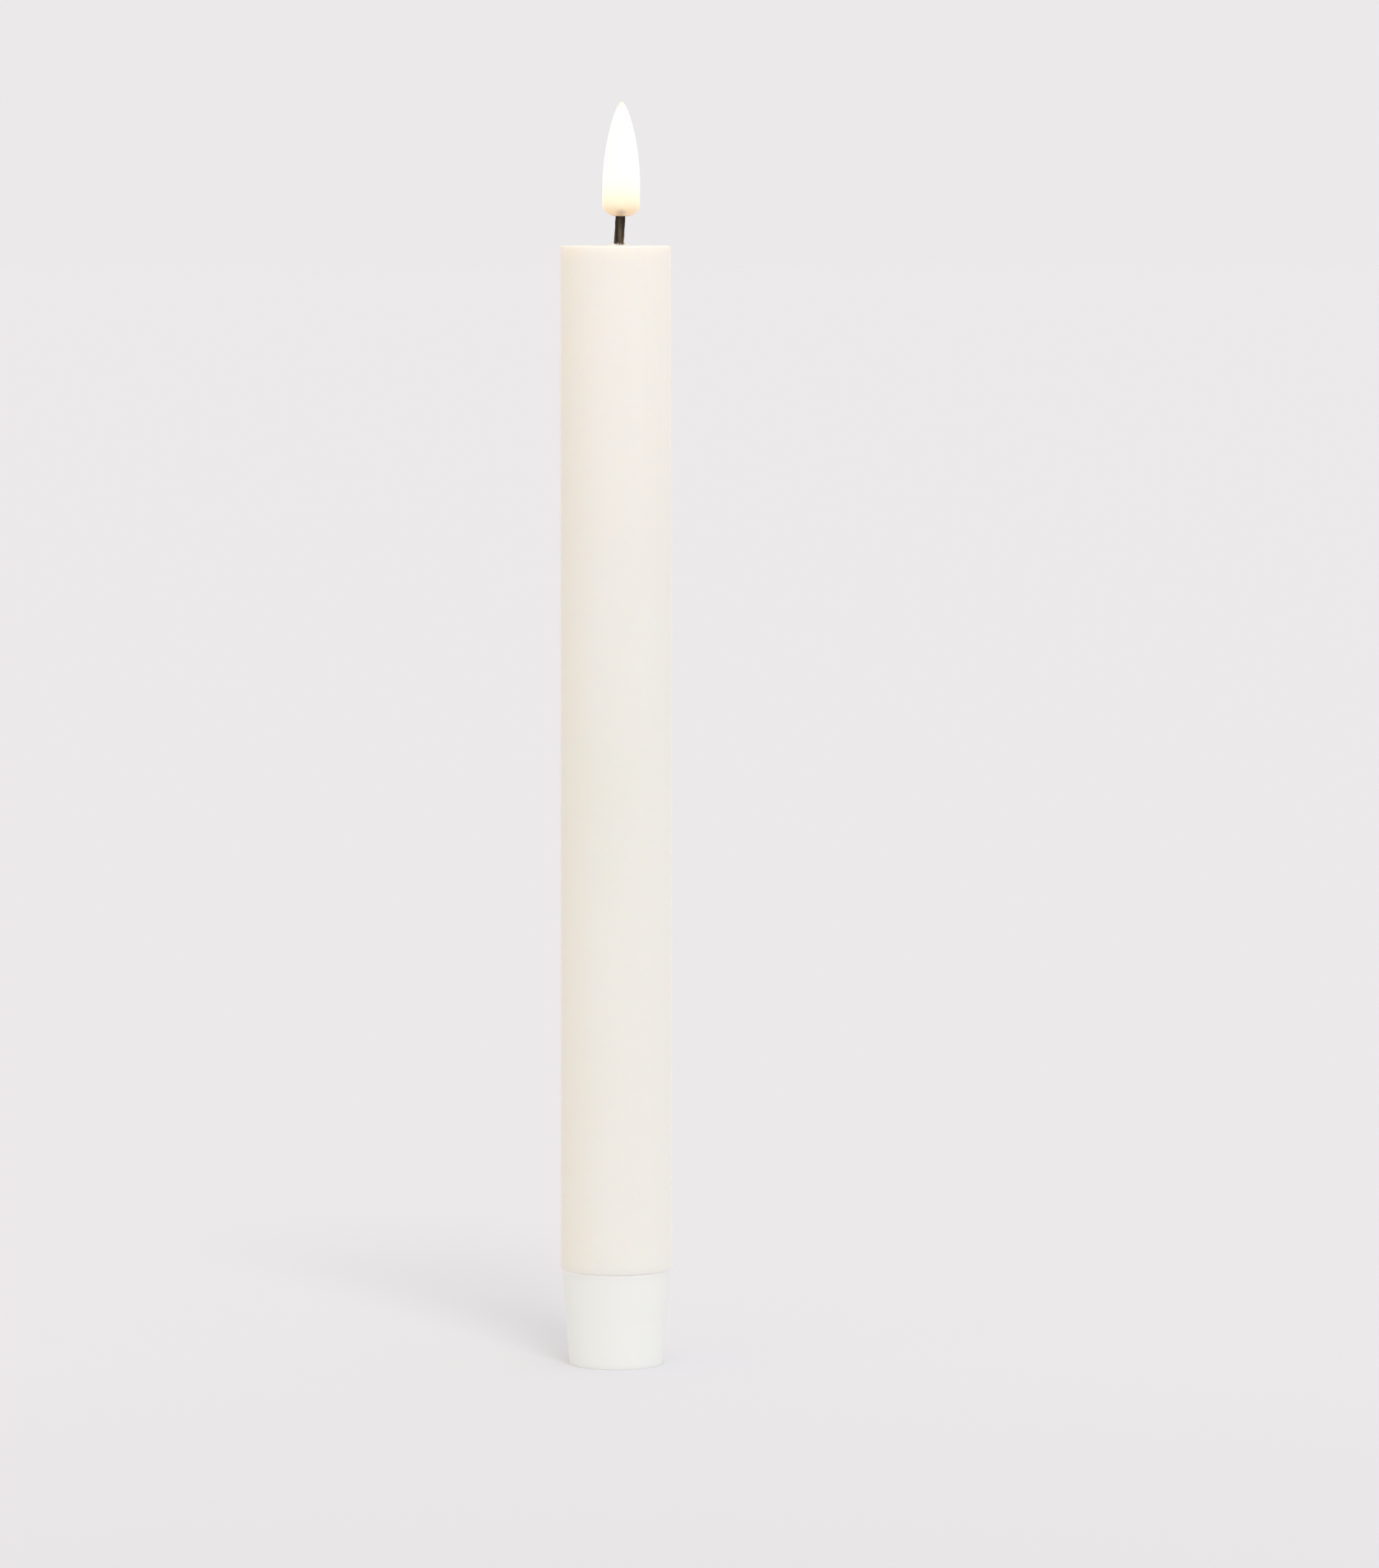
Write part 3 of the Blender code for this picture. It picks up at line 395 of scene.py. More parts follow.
def base_profile():
    """From the middle of the floor: up the bore and thread, over the rim, down the taper, and below."""
    rim_centre = (BASE_HIGH.x + RIM_FLARE - BASE_RIM, BASE_RIM_Z - BASE_RIM)
    foot_centre = (BASE_FOOT_RADIUS - BASE_EDGE, BASE_EDGE)
    fillet = 0.5 * MM
    round_over = 0.15 * MM
    profile = [(0.0, FLOOR_TOP_Z)]
    profile += between(profile[-1], (BASE_BORE - fillet, FLOOR_TOP_Z), 5)
    profile += arc((BASE_BORE - fillet, FLOOR_TOP_Z + fillet), fillet, -90, 0, 5)[1:]
    profile += between(profile[-1], (BASE_BORE, THREAD_STEP_Z), 4)
    profile += between(profile[-1], (THREAD_BORE, THREAD_STEP_Z), 2)
    profile += between(profile[-1], (THREAD_BORE, BASE_RIM_Z - round_over), 72)
    profile += arc((THREAD_BORE + round_over, BASE_RIM_Z - round_over), round_over, 180, 90, 3)[1:]
    profile += between(profile[-1], (rim_centre[0], BASE_RIM_Z), 2)
    profile += arc(rim_centre, BASE_RIM, 90, 0, 6)[1:]
    profile += between(profile[-1], (BASE_HIGH.x, BASE_HIGH.z - RIM_FLARE_DEPTH), 5)
    profile += between(profile[-1], (BASE_FOOT_RADIUS, BASE_EDGE), 30)
    profile += arc(foot_centre, BASE_EDGE, 0, -90, 8)[1:]
    profile += between(profile[-1], (RECESS_RADIUS + round_over, 0.0), 4)
    profile += arc((RECESS_RADIUS + round_over, round_over), round_over, -90, -180, 3)[1:]
    profile += [(RECESS_RADIUS, RECESS_DEPTH)]
    profile += between(profile[-1], (0.0, RECESS_DEPTH), 6)
    return profile


def upright_slot(name, length, width, bottom, top):
    """A cutter for a slot with round ends, along X."""
    bm = bmesh.new()
    reach = (length - width) / 2
    half_turn = [math.pi * i / 12 - math.pi / 2 for i in range(13)]
    outline = [(reach + width / 2 * math.cos(a), width / 2 * math.sin(a)) for a in half_turn]
    outline += [(-x, -y) for x, y in outline]
    rows = [[bm.verts.new((x, y, z)) for x, y in outline] for z in (bottom, top)]
    close_rows(bm, rows, loop=False)
    for row in rows:
        bm.faces.new(row)
    return add_piece(name, bm)


def position_mark(name, x):
    """A small raised pip beside the knob's slot."""
    pip, height, y = 0.28 * MM, 0.12 * MM, -2.0 * MM
    profile = [(0.0, RECESS_DEPTH - height)]
    profile += [(pip * 0.5, RECESS_DEPTH - height * 0.9), (pip, RECESS_DEPTH - height * 0.3)]
    profile += [(pip, RECESS_DEPTH + 0.2 * MM), (0.0, RECESS_DEPTH + 0.2 * MM)]
    return turned(name, profile, 20, place=Matrix.Translation((x, y, 0.0)))


def make_base_shell():
    """The white base, with the slot for the switch knob, two stepped screw holes and three pips."""
    shape = threaded(THREAD_START_Z + THREAD_PITCH / 2, 1.0, THREAD_BORE, -THREAD_HEIGHT)
    base = turned("base_shell", base_profile(), BASE_STEPS, shape)
    below, above = -1 * MM, FLOOR_TOP_Z + 1 * MM
    knob_play = 0.6 * MM
    slot_length = SWITCH_TRAVEL + (KNOB_HIGH.x - KNOB_LOW.x) + knob_play
    combine(base, upright_slot("knob_slot", slot_length, KNOB_SLOT_WIDTH, below, above), "DIFFERENCE")
    for y in (-SCREW_Y, SCREW_Y):
        place = Matrix.Translation((0.0, y, 0.0))
        for radius, top in ((SCREW_HOLE, above), (SCREW_HEAD_HOLE, RECESS_DEPTH + SCREW_HEAD_SINK)):
            hole = [(0.0, top), (radius, top), (radius, below), (0.0, below)]
            combine(base, turned("screw_hole", hole, 40, place=place), "DIFFERENCE")
    for x in (-SWITCH_TRAVEL / 2, 0.0, SWITCH_TRAVEL / 2):
        combine(base, position_mark("pip", x), "UNION")
    base.data.shade_smooth()
    sharpen(base, 35)
    return base


def make_knob():
    """The switch knob, with three grip grooves across its tip."""
    size = KNOB_HIGH - KNOB_LOW
    knob = rounded_box("knob", size, (KNOB_LOW + KNOB_HIGH) / 2, 0.15 * MM)
    for offset in (-0.45 * MM, 0.0, 0.45 * MM):
        centre = Vector(((KNOB_LOW.x + KNOB_HIGH.x) / 2 + offset, 0.0, KNOB_LOW.z))
        groove = rounded_box("groove", Vector((0.2, 2.4, 0.36)) * MM, centre, 0.06 * MM, 2)
        combine(knob, groove, "DIFFERENCE")
    knob.data.shade_smooth()
    sharpen(knob, 35)
    return knob


def make_tapping_screw(node):
    """A pan-headed tapping screw, head down: a crossed recess in its head, and a coarse pointed thread."""
    low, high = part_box(node)
    core, crest, pitch, turns = 0.55 * MM, 0.74 * MM, 0.6 * MM, 5.6
    head_radius = (high.x - low.x) / 2
    head_top, dome, dome_rows = low.z + 0.6 * MM, 0.34 * MM, 8
    fillet, head_edge = 0.1 * MM, 0.05 * MM
    point_length, tip_radius = 0.7 * MM, 0.12 * MM
    middle = Vector(((low.x + high.x) / 2, (low.y + high.y) / 2, 0.0))
    profile = [(0.0, high.z), (tip_radius, high.z)]
    profile += between(profile[-1], (core, high.z - point_length), 4)
    profile += between(profile[-1], (core, head_top + fillet), 76)
    profile += arc((core + fillet, head_top + fillet), fillet, 180, 270, 3)[1:]
    profile += between(profile[-1], (head_radius - head_edge, head_top), 3)
    profile += [(head_radius, head_top - head_edge), (head_radius, low.z + dome)]
    for i in range(1, dome_rows):
        angle = math.pi / 2 * i / dome_rows
        profile.append((head_radius * math.cos(angle), low.z + dome * (1 - math.sin(angle))))
    profile.append((0.0, low.z))
    shape = threaded(head_top + 0.35 * MM, turns, core, crest - core, pitch)
    screw = turned("tapping_screw", profile, 48, shape, place=Matrix.Translation(middle))
    recess_length, recess_width, recess_height = 1.7 * MM, 0.34 * MM, 0.62 * MM
    for reach in ((recess_length, recess_width), (recess_width, recess_length)):
        size = Vector((*reach, recess_height))
        slot = rounded_box("slot", size, middle + Vector((0.0, 0.0, low.z)), 0.06 * MM, 2)
        combine(screw, slot, "DIFFERENCE")
    screw.data.shade_smooth()
    sharpen(screw, 35)
    return screw


def make_coil_spring():
    """The conical tail spring, of round wire, its first and last coils drawn flat."""
    low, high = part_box("tail_spring")
    wire, wide, narrow = 0.3 * MM, 3.3 * MM, 2.1 * MM
    turns, steps_per_turn, sides = 4.5, 40, 14
    bottom, rise = low.z + wire, high.z - low.z - 2 * wire
    count = round(turns * steps_per_turn)

    def wire_middle(along):
        """The middle of the wire part of the way up, and the direction out from the axis there."""
        angle = math.tau * turns * along
        out = Vector((math.cos(angle), math.sin(angle), 0.0))
        centre = out * (wide + (narrow - wide) * along)
        centre.z = bottom + rise * ease((along - 0.07) / 0.86)
        return centre, out

    bm = bmesh.new()
    rings = [[bm.verts.new(wire_middle(0.0)[0])]]
    for i in range(count + 1):
        centre, out = wire_middle(i / count)
        ring = []
        for k in range(sides):
            angle = math.tau * k / sides
            across = out * math.cos(angle) + Vector((0.0, 0.0, math.sin(angle)))
            ring.append(bm.verts.new(centre + across * wire))
        rings.append(ring)
    rings.append([bm.verts.new(wire_middle(1.0)[0])])
    close_rows(bm, rings, loop=False)
    spring = add_piece("coil_spring", bm)
    sharpen(spring, 50)
    return spring


# The cells and the control chip.


def make_dry_cell(node):
    """An AAA cell, nub up: a crimped foot, a sleeve that rolls over both edges, a steel cap and its nub."""
    low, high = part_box(node)
    radius, length = high.x, high.z - low.z
    roll, nub, nub_round, cap = 0.45 * MM, 1.9 * MM, 0.25 * MM, 3.6 * MM
    shoulder = length - 1.0 * MM
    crimp, seam = 0.14 * MM, 0.1 * MM  # the depths of the grooves at the foot and round the cap
    inner_edge = 4.2 * MM
    profile = [(0.0, 0.0)]
    profile += between(profile[-1], (3.7 * MM, 0.0), 6)
    profile += [(3.8 * MM, 0.06 * MM), (3.85 * MM, crimp), (inner_edge, crimp), (4.3 * MM, 0.04 * MM)]
    profile += arc((radius - roll, roll), roll, -90, 0, 7)
    profile += between(profile[-1], (radius, shoulder - roll), 44)
    profile += arc((radius - roll, shoulder - roll), roll, 0, 90, 7)[1:]
    profile += [(inner_edge, shoulder), (inner_edge - seam, shoulder - seam), (cap + seam, shoulder - seam)]
    profile += [(cap, shoulder), (nub + 0.5 * MM, shoulder), (nub + 0.15 * MM, shoulder + 0.06 * MM)]
    profile += [(nub, shoulder + 0.2 * MM)]
    profile += arc((nub - nub_round, length - nub_round), nub_round, 0, 90, 6)
    profile += between(profile[-1], (0.0, length), 4)
    cell = turned("dry_cell", profile, BASE_STEPS, place=Matrix.Translation((0.0, 0.0, low.z)))
    sharpen(cell, 35)
    return cell


def bent_strip(name, path, width, thickness, x):
    """A flat lead: the (y, z) path is its middle line, and its width runs along X."""
    path = [Vector(point) for point in path]
    sides = ([], [])
    for i, point in enumerate(path):
        ahead, behind = path[min(i + 1, len(path) - 1)], path[max(i - 1, 0)]
        along = (ahead - behind).normalized()
        across = Vector((-along.y, along.x)) * thickness / 2
        sides[0].append(point + across)
        sides[1].append(point - across)
    outline = sides[0] + sides[1][::-1]
    bm = bmesh.new()
    rows = []
    for reach in (-width / 2, width / 2):
        rows.append([bm.verts.new((x + reach, point.x, point.y)) for point in outline])
    close_rows(bm, rows, loop=False)
    for row in rows:
        bm.faces.new(row)
    return add_piece(name, bm)


def make_leaded_chip():
    """An eight-legged control chip, its face to the front, with a dimple by its first leg."""
    low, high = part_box("controller_chip")
    middle = (low + high) / 2
    board_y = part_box("control_board")[0].y
    chip = rounded_box("leaded_chip", high - low, middle, 0.12 * MM, 3)
    radius, depth, inset = 0.3 * MM, 0.2 * MM, 0.75 * MM
    dimple = [(0.0, depth), (radius, depth), (radius, -depth), (0.0, -depth)]
    corner = Matrix.Translation((low.x + inset, low.y, low.z + inset))
    facing = corner @ Matrix.Rotation(math.pi / 2, 4, "X")
    combine(chip, turned("dimple", dimple, 24, place=facing), "DIFFERENCE")
    pitch, width, thickness, foot_y = 1.27 * MM, 0.42 * MM, 0.18 * MM, board_y - 0.15 * MM
    for way, edge in ((-1, low.z), (1, high.z)):
        path = [(middle.y, edge - way * 0.3 * MM), (middle.y, edge + way * 0.18 * MM)]
        path += [(middle.y + 0.08 * MM, edge + way * 0.28 * MM), (foot_y - 0.10 * MM, edge + way * 0.40 * MM)]
        path += [(foot_y, edge + way * 0.50 * MM), (foot_y, edge + way * 0.85 * MM)]
        for step in (-1.5, -0.5, 0.5, 1.5):
            leg = bent_strip("leg", path, width, thickness, middle.x + step * pitch)
            combine(chip, leg, "UNION")
    chip.data.shade_smooth()
    sharpen(chip, 30)
    return chip


# Node helpers.


class Surface:
    """A material of one Principled shader. Every pattern in it is placed by object coordinates."""

    def __init__(self, name, **constants):
        self.material = bpy.data.materials.new(name)
        self.material.use_nodes = True
        self.tree = self.material.node_tree
        shader = self.tree.nodes["Principled BSDF"]
        self.sockets = {s.name.lower().replace(" ", "_"): s for s in shader.inputs}
        for socket, value in constants.items():
            self.sockets[socket].default_value = value
        self.place = self.tree.nodes.new("ShaderNodeTexCoord").outputs["Object"]

    def add(self, kind, **settings):
        """A new node of a kind, with these settings."""
        made = self.tree.nodes.new(kind)
        for name, value in settings.items():
            setattr(made, name, value)
        return made

    def join(self, source, socket):
        """Links an output to a socket, or sets the socket where the source is a plain value."""
        if isinstance(source, bpy.types.NodeSocket):
            self.tree.links.new(source, socket)
        else:
            socket.default_value = source

    def maths(self, operation, first, second=0.0):
        """One operation on one or two values."""
        made = self.add("ShaderNodeMath", operation=operation)
        self.join(first, made.inputs[0])
        self.join(second, made.inputs[1])
        return made.outputs[0]

    def stretched(self, scale):
        """Object coordinates, scaled along each axis."""
        made = self.add("ShaderNodeMapping")
        self.join(self.place, made.inputs["Vector"])
        made.inputs["Scale"].default_value = scale
        return made.outputs["Vector"]

    def noise(self, scale, detail, stretch=(1.0, 1.0, 1.0)):
        """Soft noise, longer along each axis whose stretch is small."""
        made = self.add("ShaderNodeTexNoise")
        self.join(self.stretched(stretch), made.inputs["Vector"])
        made.inputs["Scale"].default_value = scale
        made.inputs["Detail"].default_value = detail
        return made.outputs["Fac"]

    def cells(self, scale):
        """Distance to the nearest point of a scatter: pits, specks and grains."""
        made = self.add("ShaderNodeTexVoronoi")
        self.join(self.place, made.inputs["Vector"])
        made.inputs["Scale"].default_value = scale
        return made.outputs["Distance"]

    def axis(self, name):
        """The X, Y or Z place."""
        made = self.add("ShaderNodeSeparateXYZ")
        self.join(self.place, made.inputs[0])
        return made.outputs[name]

    def near(self, point, inner, outer):
        """1 within the inner distance of a point, falling to 0 at the outer one."""
        made = self.add("ShaderNodeVectorMath", operation="DISTANCE")
        self.join(self.place, made.inputs[0])
        made.inputs[1].default_value = point
        return self.span(made.outputs["Value"], inner, outer, 1.0, 0.0)

    def span(self, value, low, high, to_low=0.0, to_high=1.0):
        """The value from low to high, mapped to another range and held at its ends."""
        made = self.add("ShaderNodeMapRange", clamp=True)
        for socket, number in zip(made.inputs, (value, low, high, to_low, to_high)):
            self.join(number, socket)
        return made.outputs[0]

    def ramp(self, factor, stops):
        """Colours along the factor, from (position, colour) stops."""
        made = self.add("ShaderNodeValToRGB")
        self.join(factor, made.inputs[0])
        elements = made.color_ramp.elements
        while len(elements) < len(stops):
            elements.new(1.0)
        for element, (position, colour) in zip(elements, stops):
            element.position = position
            element.color = (*colour, 1.0)
        return made.outputs["Color"]

    def mix(self, factor, first, second):
        """The first colour, going over to the second with the factor."""
        made = self.add("ShaderNodeMix", data_type="RGBA")
        sockets = {s.identifier: s for s in made.inputs}
        self.join(factor, sockets["Factor_Float"])
        for key, colour in (("A_Color", first), ("B_Color", second)):
            value = colour if isinstance(colour, bpy.types.NodeSocket) else (*colour, 1.0)
            self.join(value, sockets[key])
        return {s.identifier: s for s in made.outputs}["Result_Color"]

    def colour(self, source):
        """The base colour."""
        self.join(source, self.sockets["base_color"])

    def roughness(self, source, low, high):
        """Roughness from low to high, as the source goes through its middle values."""
        self.join(self.span(source, 0.3, 0.7, low, high), self.sockets["roughness"])

    def bump(self, *layers):
        """Relief from (height, depth in metres) layers."""
        normal = None
        for height, depth in layers:
            made = self.add("ShaderNodeBump")
            made.inputs["Strength"].default_value = 1.0
            made.inputs["Distance"].default_value = depth
            self.join(height, made.inputs["Height"])
            if normal is not None:
                self.join(normal, made.inputs["Normal"])
            normal = made.outputs["Normal"]
        self.join(normal, self.sockets["normal"])


# Materials of the pieces that show.


def wax_finish():
    """Ivory wax: cloudy depths, faint drawn streaks, painted light that brightens and warms its top, painted
    shade that darkens and yellows its left side, and a soft satin skin.
    """
    wax = Surface(
        "dipped_ivory_wax",
        subsurface_weight=0.35,
        subsurface_scale=0.004,
        subsurface_radius=(1.0, 0.62, 0.36),
        specular_ior_level=0.4,
        sheen_weight=0.5,
        sheen_roughness=0.3,
        sheen_tint=(1.0, 0.96, 0.88, 1.0),
        emission_strength=1.0,
    )
    height = wax.span(wax.axis("Z"), WAX_LOW.z, WAX_HIGH.z)
    # The height ramp is painted light: a little darker through the middle, brighter and warmer towards the
    # top where the lit flame falls on the wax, and lighter again near the foot.
    body = wax.ramp(
        height,
        [
            (0.0, (0.929, 0.875, 0.813)),
            (0.20, (0.921, 0.867, 0.807)),
            (0.49, (0.904, 0.862, 0.793)),
            (0.64, (0.927, 0.873, 0.812)),
            (0.80, (0.968, 0.889, 0.819)),
            (1.0, (0.983, 0.904, 0.828)),
        ],
    )
    clouds = wax.noise(55, 4, (1.0, 1.0, 0.45))
    body = wax.mix(wax.span(clouds, 0.40, 0.80, 0.0, 0.6), body, (0.965, 0.905, 0.850))
    streaks = wax.noise(420, 3, (1.0, 1.0, 0.035))
    body = wax.mix(wax.span(streaks, 0.45, 0.8, 0.0, 0.25), body, (0.930, 0.865, 0.765))
    specks = wax.cells(260)
    body = wax.mix(wax.span(specks, 0.05, 0.12, 0.16, 0.0), body, (0.880, 0.800, 0.680))
    # Painted light: the top part of the wax glows faintly warm, as if lit by the flame above it.
    painted_flame_glow = [(0.70, (0.0, 0.0, 0.0)), (0.85, (0.010, 0.006, 0.003)), (1.0, (0.030, 0.020, 0.012))]
    wax.join(wax.ramp(height, painted_flame_glow), wax.sockets["emission_color"])
    # Painted shade: the left side, away from the key light, is darker and yellower.
    painted_shade_side = wax.span(wax.axis("X"), -WAX_HIGH.x, -0.35 * WAX_HIGH.x, 0.6, 0.0)
    wax.colour(wax.mix(painted_shade_side, body, (0.930, 0.835, 0.715)))
    wax.roughness(wax.noise(180, 4), 0.40, 0.52)
    wax.bump((wax.noise(900, 3), 0.012 * MM), (streaks, 0.010 * MM), (wax.noise(2600, 2), 0.006 * MM))
    return wax.material


def flame_finish():
    """Frosted resin lit from within: white, then yellow and peach where the LED's light thins out."""
    resin = Surface("lit_flame_resin", roughness=0.35, emission_strength=1.0)
    height = resin.span(resin.axis("Z"), FLAME_BOTTOM_Z, FLAME_HIGH.z)
    drift = resin.span(resin.noise(260, 2), 0.0, 1.0, -0.015, 0.015)
    level = resin.maths("ADD", height, drift)
    glow = resin.ramp(
        level,
        [
            (0.0, (0.40, 0.25, 0.12)),
            (0.05, (0.52, 0.38, 0.22)),
            (0.10, (0.60, 0.53, 0.35)),
            (0.16, (0.62, 0.62, 0.46)),
            (0.25, (0.62, 0.63, 0.58)),
            (0.34, (0.62, 0.63, 0.64)),
            (0.93, (0.60, 0.61, 0.60)),
            (1.0, (0.48, 0.49, 0.40)),
        ],
    )
    # Painted shade: the glow turns dark brown round the socket where the wick enters the resin.
    painted_socket_shade = resin.near((FLAME_X, 0.0, FLAME_BOTTOM_Z), 1.45 * MM, 2.3 * MM)
    glow = resin.mix(painted_socket_shade, glow, (0.14, 0.075, 0.03))
    wick_shadow = resin.near((FLAME_X, -3.2 * MM, FLAME_BOTTOM_Z + 0.2 * MM), 0.5 * MM, 1.5 * MM)
    glow = resin.mix(resin.maths("MULTIPLY", wick_shadow, 0.75), glow, (0.10, 0.05, 0.02))
    resin.join(glow, resin.sockets["emission_color"])
    unlit = [(0.0, (0.42, 0.36, 0.30)), (0.25, (0.46, 0.42, 0.34)), (1.0, (0.50, 0.47, 0.40))]
    resin.colour(resin.ramp(level, unlit))
    resin.bump((resin.noise(1800, 3), 0.008 * MM))
    return resin.material


def wick_finish():
    """Dark brown braid with lighter fibres, and a splash of wax round its root."""
    braid = Surface("dark_wick_braid", specular_ior_level=0.2)
    fibres = braid.noise(900, 4, (1.0, 1.0, 0.18))
    streaks = braid.noise(300, 2, (1.0, 1.0, 0.5))
    browns = [(0.38, (0.012, 0.008, 0.005)), (0.5, (0.036, 0.025, 0.015)), (0.64, (0.105, 0.075, 0.048))]
    tone = braid.ramp(fibres, browns)
    tone = braid.mix(braid.span(streaks, 0.45, 0.65, 0.0, 0.6), tone, (0.030, 0.020, 0.012))
    wax_splash = braid.span(braid.noise(1500, 3), 0.50, 0.56)
    root = braid.span(braid.axis("Z"), WAX_HIGH.z + 0.15 * MM, WAX_HIGH.z + 0.75 * MM, 1.0, 0.0)
    tone = braid.mix(braid.maths("MULTIPLY", wax_splash, root), tone, (0.80, 0.74, 0.64))
    braid.colour(tone)
    braid.roughness(fibres, 0.50, 0.75)
    braid.bump((fibres, 0.03 * MM), (braid.noise(4000, 2), 0.01 * MM))
    return braid.material


def moulded_plastic(name, colour, low, high, grain=0.004):
    """Moulded plastic: slight flow marks in its colour, a fine spark-eroded grain and a few rubbed spots."""
    plastic = Surface(name, specular_ior_level=0.45)
    flow = plastic.noise(70, 3, (1.0, 1.0, 0.4))
    shade = [tuple(c * level for c in colour) for level in (0.955, 1.0, 1.02)]
    tone = plastic.ramp(flow, [(0.3, shade[0]), (0.55, shade[1]), (0.75, shade[2])])
    rubbed = plastic.cells(420)
    tone = plastic.mix(plastic.span(rubbed, 0.04, 0.10, 0.18, 0.0), tone, tuple(c * 0.86 for c in colour))
    plastic.colour(tone)
    plastic.roughness(plastic.noise(300, 4), low, high)
    plastic.bump((plastic.noise(3200, 3), grain * MM), (flow, 0.02 * MM))
    return plastic.material


def base_finish():
    """The base's white plastic: faint flow marks, a painted highlight along the rim, and a trace of dust
    round its foot.
    """
    base = Surface(
        "base_white_plastic",
        subsurface_weight=0.15,
        subsurface_scale=0.0015,
        subsurface_radius=(1.0, 0.95, 0.9),
        specular_ior_level=0.45,
    )
    flow = base.noise(60, 3, (1.0, 1.0, 0.5))
    whites = [(0.3, (0.870, 0.884, 0.855)), (0.55, (0.888, 0.902, 0.875)), (0.8, (0.898, 0.912, 0.888))]
    tone = base.ramp(flow, whites)
    height = base.axis("Z")
    foot = base.span(height, 0.0, 0.8 * MM, 1.0, 0.0)
    dust = base.maths("MULTIPLY", foot, base.span(base.noise(500, 4), 0.35, 0.7, 0.0, 0.16))
    tone = base.mix(dust, tone, (0.72, 0.70, 0.65))
    # Painted highlight: a paler band just under the rim, where its edge catches the light.
    rim = base.span(height, BASE_RIM_Z - 0.8 * MM, BASE_RIM_Z - 0.3 * MM)
    tone = base.mix(rim, tone, (0.990, 0.980, 0.955))
    base.colour(tone)
    base.roughness(base.noise(260, 4), 0.34, 0.46)
    base.bump((base.noise(3400, 3), 0.004 * MM), (base.noise(45, 2), 0.05 * MM))
    return base.material


# Materials of the pieces inside.


def metal(name, bright, dull, low, high, along=(1.0, 1.0, 0.05)):
    """Plated or drawn metal: fine marks along its length and patches of tarnish."""
    plate = Surface(name, metallic=1.0)
    drawn = plate.noise(1400, 3, along)
    tarnish = plate.noise(240, 4)
    tone = plate.mix(plate.span(tarnish, 0.42, 0.72), bright, dull)
    plate.colour(plate.mix(plate.span(drawn, 0.4, 0.7, 0.0, 0.3), tone, tuple(c * 0.8 for c in bright)))
    plate.roughness(tarnish, low, high)
    plate.bump((drawn, 0.01 * MM))
    return plate.material


def copper_tracks(board, along, across):
    """Fine parallel tracks that run along one direction, with short links between them."""
    place = board.add("ShaderNodeCombineXYZ")
    board.join(along, place.inputs["X"])
    board.join(across, place.inputs["Y"])
    tracks = board.add("ShaderNodeTexBrick", offset=0.37)
    board.join(place.outputs[0], tracks.inputs["Vector"])
    sizes = {"Scale": 1.0, "Brick Width": 7.3 * MM, "Row Height": 0.75 * MM, "Mortar Size": 0.11 * MM}
    for socket, size in sizes.items():
        tracks.inputs[socket].default_value = size
    return tracks.outputs["Fac"]


def circuit_board_finish():
    """Green solder mask over copper tracks, with tinned pads and the weave of the glass cloth under it."""
    board = Surface("green_circuit_board", specular_ior_level=0.5)
    width = board.axis("X")
    height = board.maths("ADD", board.axis("Z"), board.axis("Y"))
    upright = board.span(board.noise(170, 1), 0.490, 0.494)
    level = board.maths("SUBTRACT", 1.0, upright)
    level_tracks = board.maths("MULTIPLY", copper_tracks(board, width, height), level)
    upright_tracks = board.maths("MULTIPLY", copper_tracks(board, height, width), upright)
    tracks = board.maths("ADD", level_tracks, upright_tracks)
    mask = board.ramp(board.noise(300, 3), [(0.35, (0.010, 0.095, 0.040)), (0.7, (0.016, 0.130, 0.055))])
    tone = board.mix(board.span(tracks, 0.0, 1.0, 0.0, 0.8), mask, (0.035, 0.230, 0.095))
    pads = board.cells(330)
    tone = board.mix(board.span(pads, 0.16, 0.20, 0.9, 0.0), tone, (0.70, 0.69, 0.66))
    board.colour(tone)
    board.roughness(board.noise(500, 3), 0.28, 0.45)
    board.bump((tracks, 0.03 * MM), (board.noise(2400, 2), 0.006 * MM))
    return board.material


def cell_finish(node):
    """A cell's printed wrapper: a dark body with two plain bands, and bare steel at both ends."""
    low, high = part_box(node)
    cell = Surface(f"{node}_wrapper", specular_ior_level=0.5)
    level = cell.span(cell.axis("Z"), low.z, high.z)
    dark, line, pale = (0.050, 0.075, 0.115), (0.42, 0.45, 0.48), (0.30, 0.34, 0.40)
    print_bands = cell.ramp(
        level,
        [
            (0.0, (0.62, 0.61, 0.58)),
            (0.02, dark),
            (0.30, dark),
            (0.305, line),
            (0.33, line),
            (0.335, dark),
            (0.76, dark),
            (0.765, pale),
            (0.972, pale),
            (0.976, (0.66, 0.65, 0.62)),
        ],
    )
    scuffs = cell.noise(500, 4, (1.0, 1.0, 0.2))
    cell.colour(cell.mix(cell.span(scuffs, 0.55, 0.8, 0.0, 0.35), print_bands, (0.36, 0.37, 0.38)))
    steel_top = cell.span(level, 0.973, 0.977)
    steel_bottom = cell.span(level, 0.006, 0.012, 1.0, 0.0)
    cell.join(cell.maths("MAXIMUM", steel_top, steel_bottom), cell.sockets["metallic"])
    cell.roughness(scuffs, 0.26, 0.42)
    cell.bump((scuffs, 0.006 * MM))
    return cell.material


def insulation(name, dark, light):
    """Wire insulation, with faint lines from its extrusion."""
    cover = Surface(name, specular_ior_level=0.45)
    drawn = cover.noise(1800, 3, (1.0, 1.0, 0.08))
    cover.colour(cover.ramp(drawn, [(0.3, dark), (0.7, light)]))
    cover.roughness(cover.noise(900, 3), 0.36, 0.52)
    cover.bump((drawn, 0.01 * MM))
    return cover.material


